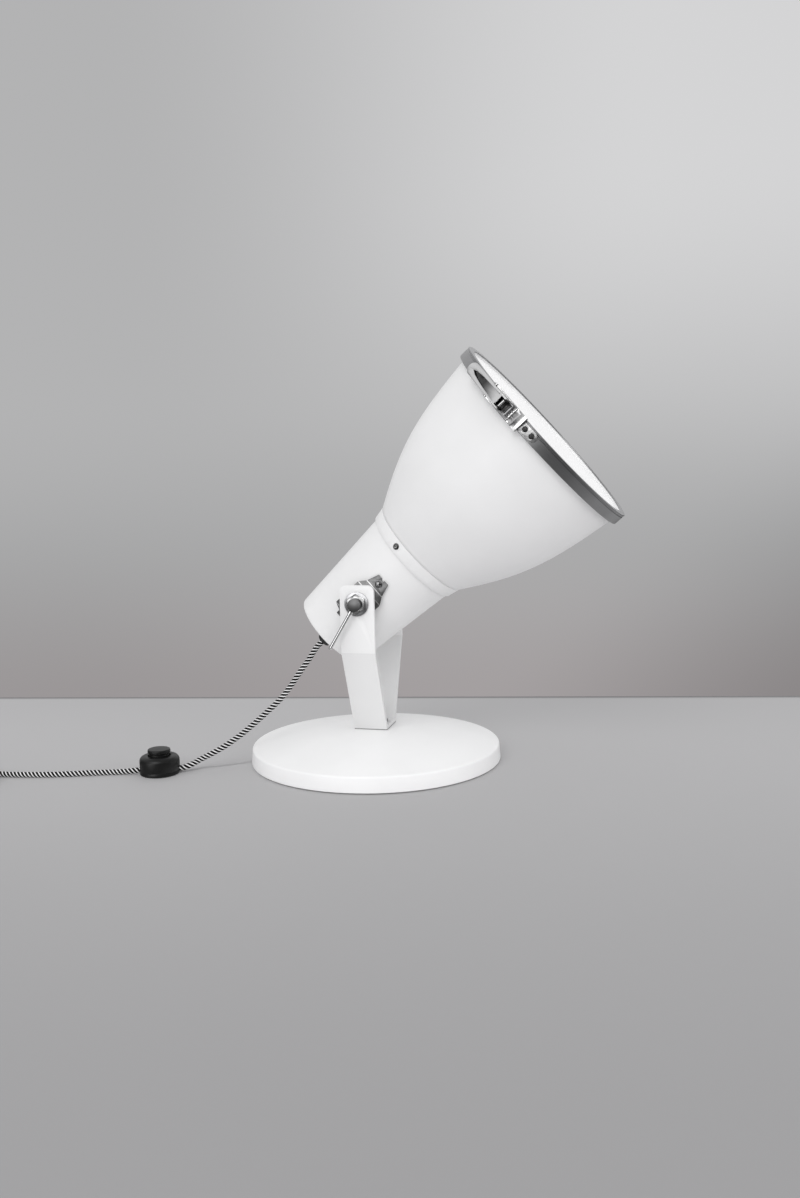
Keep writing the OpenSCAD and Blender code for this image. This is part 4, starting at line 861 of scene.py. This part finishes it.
def floor_under(u, v):
    """The point of the floor behind pixel (u, v): the eye plus that share of the ray that brings z
    to 0."""
    ray = ahead + (right * (u - CENTRE_PX[0]) + down * (v - CENTRE_PX[1])) / FOCAL_PX
    return EYE - ray * EYE[2] / ray[2]


seam = np.array([floor_under(*pixel) for pixel in SEAM_PX])
run = unit(seam[1] - seam[0])
near = np.array([run[1], -run[0], 0.0])
middle = seam.mean(0)
back_edge = np.array([middle - run * FLOOR_HALF, middle + run * FLOOR_HALF])
corners = np.vstack([back_edge, back_edge[::-1] + near * FLOOR_DEEP])
floor_mesh = bpy.data.meshes.new("studio_floor")
floor_mesh.from_pydata(corners.tolist(), [], [(0, 3, 2, 1)])
floor = placed("studio_floor", floor_mesh)
print("floor seam at", seam.round(2).tolist())

# %% [markdown]
# ## Floor paint
# The floor darkens a little towards the camera, as the studio's light falls off, and has a thin
# dark line at the seam. The camera sees that tone. The light that the floor throws back up at the
# lamp is one even tone, so that the bell's underside can be balanced without changing the floor in
# the picture.

# %% Floor paint
FLOOR_TONE, FLOOR_FALL, BOUNCE = 0.405, 0.136, 0.55
FALL_FROM, FALL_TO, PATCHY = 0.15, 1.25, 0.1
SEAM_TONE, SEAM_FROM, SEAM_TO = 0.45, 0.002, 0.016
GREEN_SHARE, BLUE_SHARE = 0.992, 1.004
floor_paint, wire = finish("floor_paint", Roughness=0.75, Specular_IOR_Level=0.2)
to_camera = along(wire, near, middle)
cloud = wire.noise(1.5, 3.0)
lane = to_camera.ramp(FALL_FROM, FALL_TO) + (cloud - 0.5) * PATCHY
seam_line = SEAM_TONE + to_camera.ramp(SEAM_FROM, SEAM_TO) * (1 - SEAM_TONE)
seen = wire.node("ShaderNodeLightPath", out="Is Camera Ray")
tone = seen * (FLOOR_TONE - lane * FLOOR_FALL) * seam_line + (1 - seen) * BOUNCE
feed(floor_paint, Base_Color=tone.node("ShaderNodeCombineColor", None,
                                       {0: tone, 1: tone * GREEN_SHARE, 2: tone * BLUE_SHARE}))
floor_mesh.materials.append(floor_paint)
print("floor tone", FLOOR_TONE, "falls by", FLOOR_FALL)

# %% [markdown]
# ## Backdrop
# Behind the lamp the photograph has a grey wall, lighter towards the upper right and a little warm
# just above the floor. A painted wall would have to be lit, so the world draws it: a sum of soft
# ramps on the direction of the ray, up and to the right of the camera's level line.

# %% Backdrop
world = bpy.data.worlds.new("studio")
world.use_nodes = True
bpy.context.scene.world = world
wire = Wire(world.node_tree)
aim = wire.place()
aim_up, aim_right, aim_back = aim.part(2), aim.dot(level), aim.dot(level_ahead)

WALL, RISE, CORNER, LOW_SIDE, GLOW, GLOW_AT = 0.30, 0.15, 0.21, 0.075, 0.045, 0.1
SEAM_AIM, TOP_AIM = -0.24, 0.24
rising = aim_up.ramp(SEAM_AIM, 0.06) * RISE
corner = aim_right.ramp(-0.22, 0.24) * aim_up.ramp(-0.10, TOP_AIM) * CORNER
low_side = (aim_right - aim_up).ramp(0.3, 0.6) * LOW_SIDE
off_glow = (aim_right - GLOW_AT).size()
glow = (1 - off_glow.ramp(0.0, 0.4)) * (1 - aim_up.ramp(-0.15, 0.0)) * GLOW
warm = 1 - aim_up.ramp(SEAM_AIM, -0.06)
backdrop = WALL + rising + corner + glow - low_side
print("backdrop from", WALL, "to", WALL + RISE + CORNER)

# %% [markdown]
# ## What metal mirrors
# Metal shows the room, so a bare grey world would leave it flat. In the mirrored room the wall
# stands behind, the ceiling is pale and paler on the left, the ground is brighter to the right, and
# two small windows give the nut and the latch their sparks. Rays that light dull surfaces see one
# even tone instead.

# %% Mirrored room
DARK_ROOM, CEILING, LEFT_CEILING, GROUND, BRIGHT_GROUND = 0.05, 0.25, 0.35, 0.15, 0.33
WINDOWS = ((-0.304, -0.951, -0.03), (-0.56, -0.828, 0.0))
WINDOW_EDGE, WINDOW_TONE = (0.966, 0.985), 2.0
ROOM, WARMTH, COOLNESS = 0.75, 0.07, 1.01
windows = sum(aim.dot(towards).ramp(*WINDOW_EDGE) for towards in WINDOWS)
behind = aim_back.ramp(0.3, 0.8) * aim_up.ramp(-0.16, 0.08) * backdrop
overhead = (aim_up.ramp(0.15, 0.55) * CEILING
            + (0 - aim_right).ramp(0.3, 0.7) * aim_up.ramp(0.3, 0.6) * LEFT_CEILING)
ground = (0 - aim_up).ramp(0.1, 0.5) * (
    GROUND + (aim_right + aim_back * 0.6).ramp(-0.3, 0.8) * BRIGHT_GROUND)
mirrored = DARK_ROOM + behind + overhead + ground + windows * WINDOW_TONE

seen, glossy, through = (wire.node("ShaderNodeLightPath", out=f"Is {kind} Ray")
                         for kind in ("Camera", "Glossy", "Transmission"))
lighting = through * backdrop + (1 - through) * ROOM
tone = seen * backdrop + (1 - seen) * (glossy * mirrored + (1 - glossy) * lighting)
shade_of = tone.node("ShaderNodeCombineColor", None, {0: tone * (1 + seen * warm * WARMTH),
                                                      1: tone, 2: tone * COOLNESS})
background = world.node_tree.nodes["Background"]
world.node_tree.links.new(shade_of.socket, background.inputs["Color"])
background.inputs["Strength"].default_value = 1.0
print("room tone", ROOM, "with", len(WINDOWS), "mirrored windows")

# %% [markdown]
# ## Lamps
# One large box from the upper left makes the soft turn of tone on the bell, and a weak one lifts
# its right side. The photograph also shows a thin crisp shadow of the hanging cord on the floor,
# and none of the bell. A small lamp for all would draw both, so the small lamp here lights only the
# floor and only the cord shades it. Metal doesn't mirror the weak lamp, the small one or the floor.


# %% Lamps
def softbox(name, at, to, size, watts):
    """A square lamp of that size in metres, at one point and facing another: its z axis runs from
    the second point to the first, and its x axis is level."""
    lamp = bpy.data.lights.new(name, "AREA")
    lamp.size, lamp.energy = size, watts
    back = unit(np.subtract(at, to))
    side = unit(np.cross((0, 0, 1), back))
    made = placed(name, lamp)
    made.matrix_world = placing(side, np.cross(back, side), back, at)
    return made


BELL_AT, CORD_FOOT = (0.05, 0, 0.25), (-0.19, -0.08, 0.0)
softbox("key", at=(-0.6, -4.2, 2.9), to=BELL_AT, size=3.0, watts=93)
fill = softbox("side", at=(2.6, -1.2, 0.5), to=BELL_AT, size=1.6, watts=14)
high = softbox("high", at=(-0.1, -2.0, 3.4), to=CORD_FOOT, size=0.1, watts=40)
lit_by_high = bpy.data.collections.new("lit_by_high")
lit_by_high.objects.link(floor)
shades_high = bpy.data.collections.new("shades_high")
shades_high.objects.link(flex_upper)
high.light_linking.receiver_collection = lit_by_high
high.light_linking.blocker_collection = shades_high
for unseen in (fill, high, floor):
    unseen.visible_glossy = False
bpy.context.scene.view_settings.view_transform = "Standard"
print(len(bpy.data.lights), "lamps")
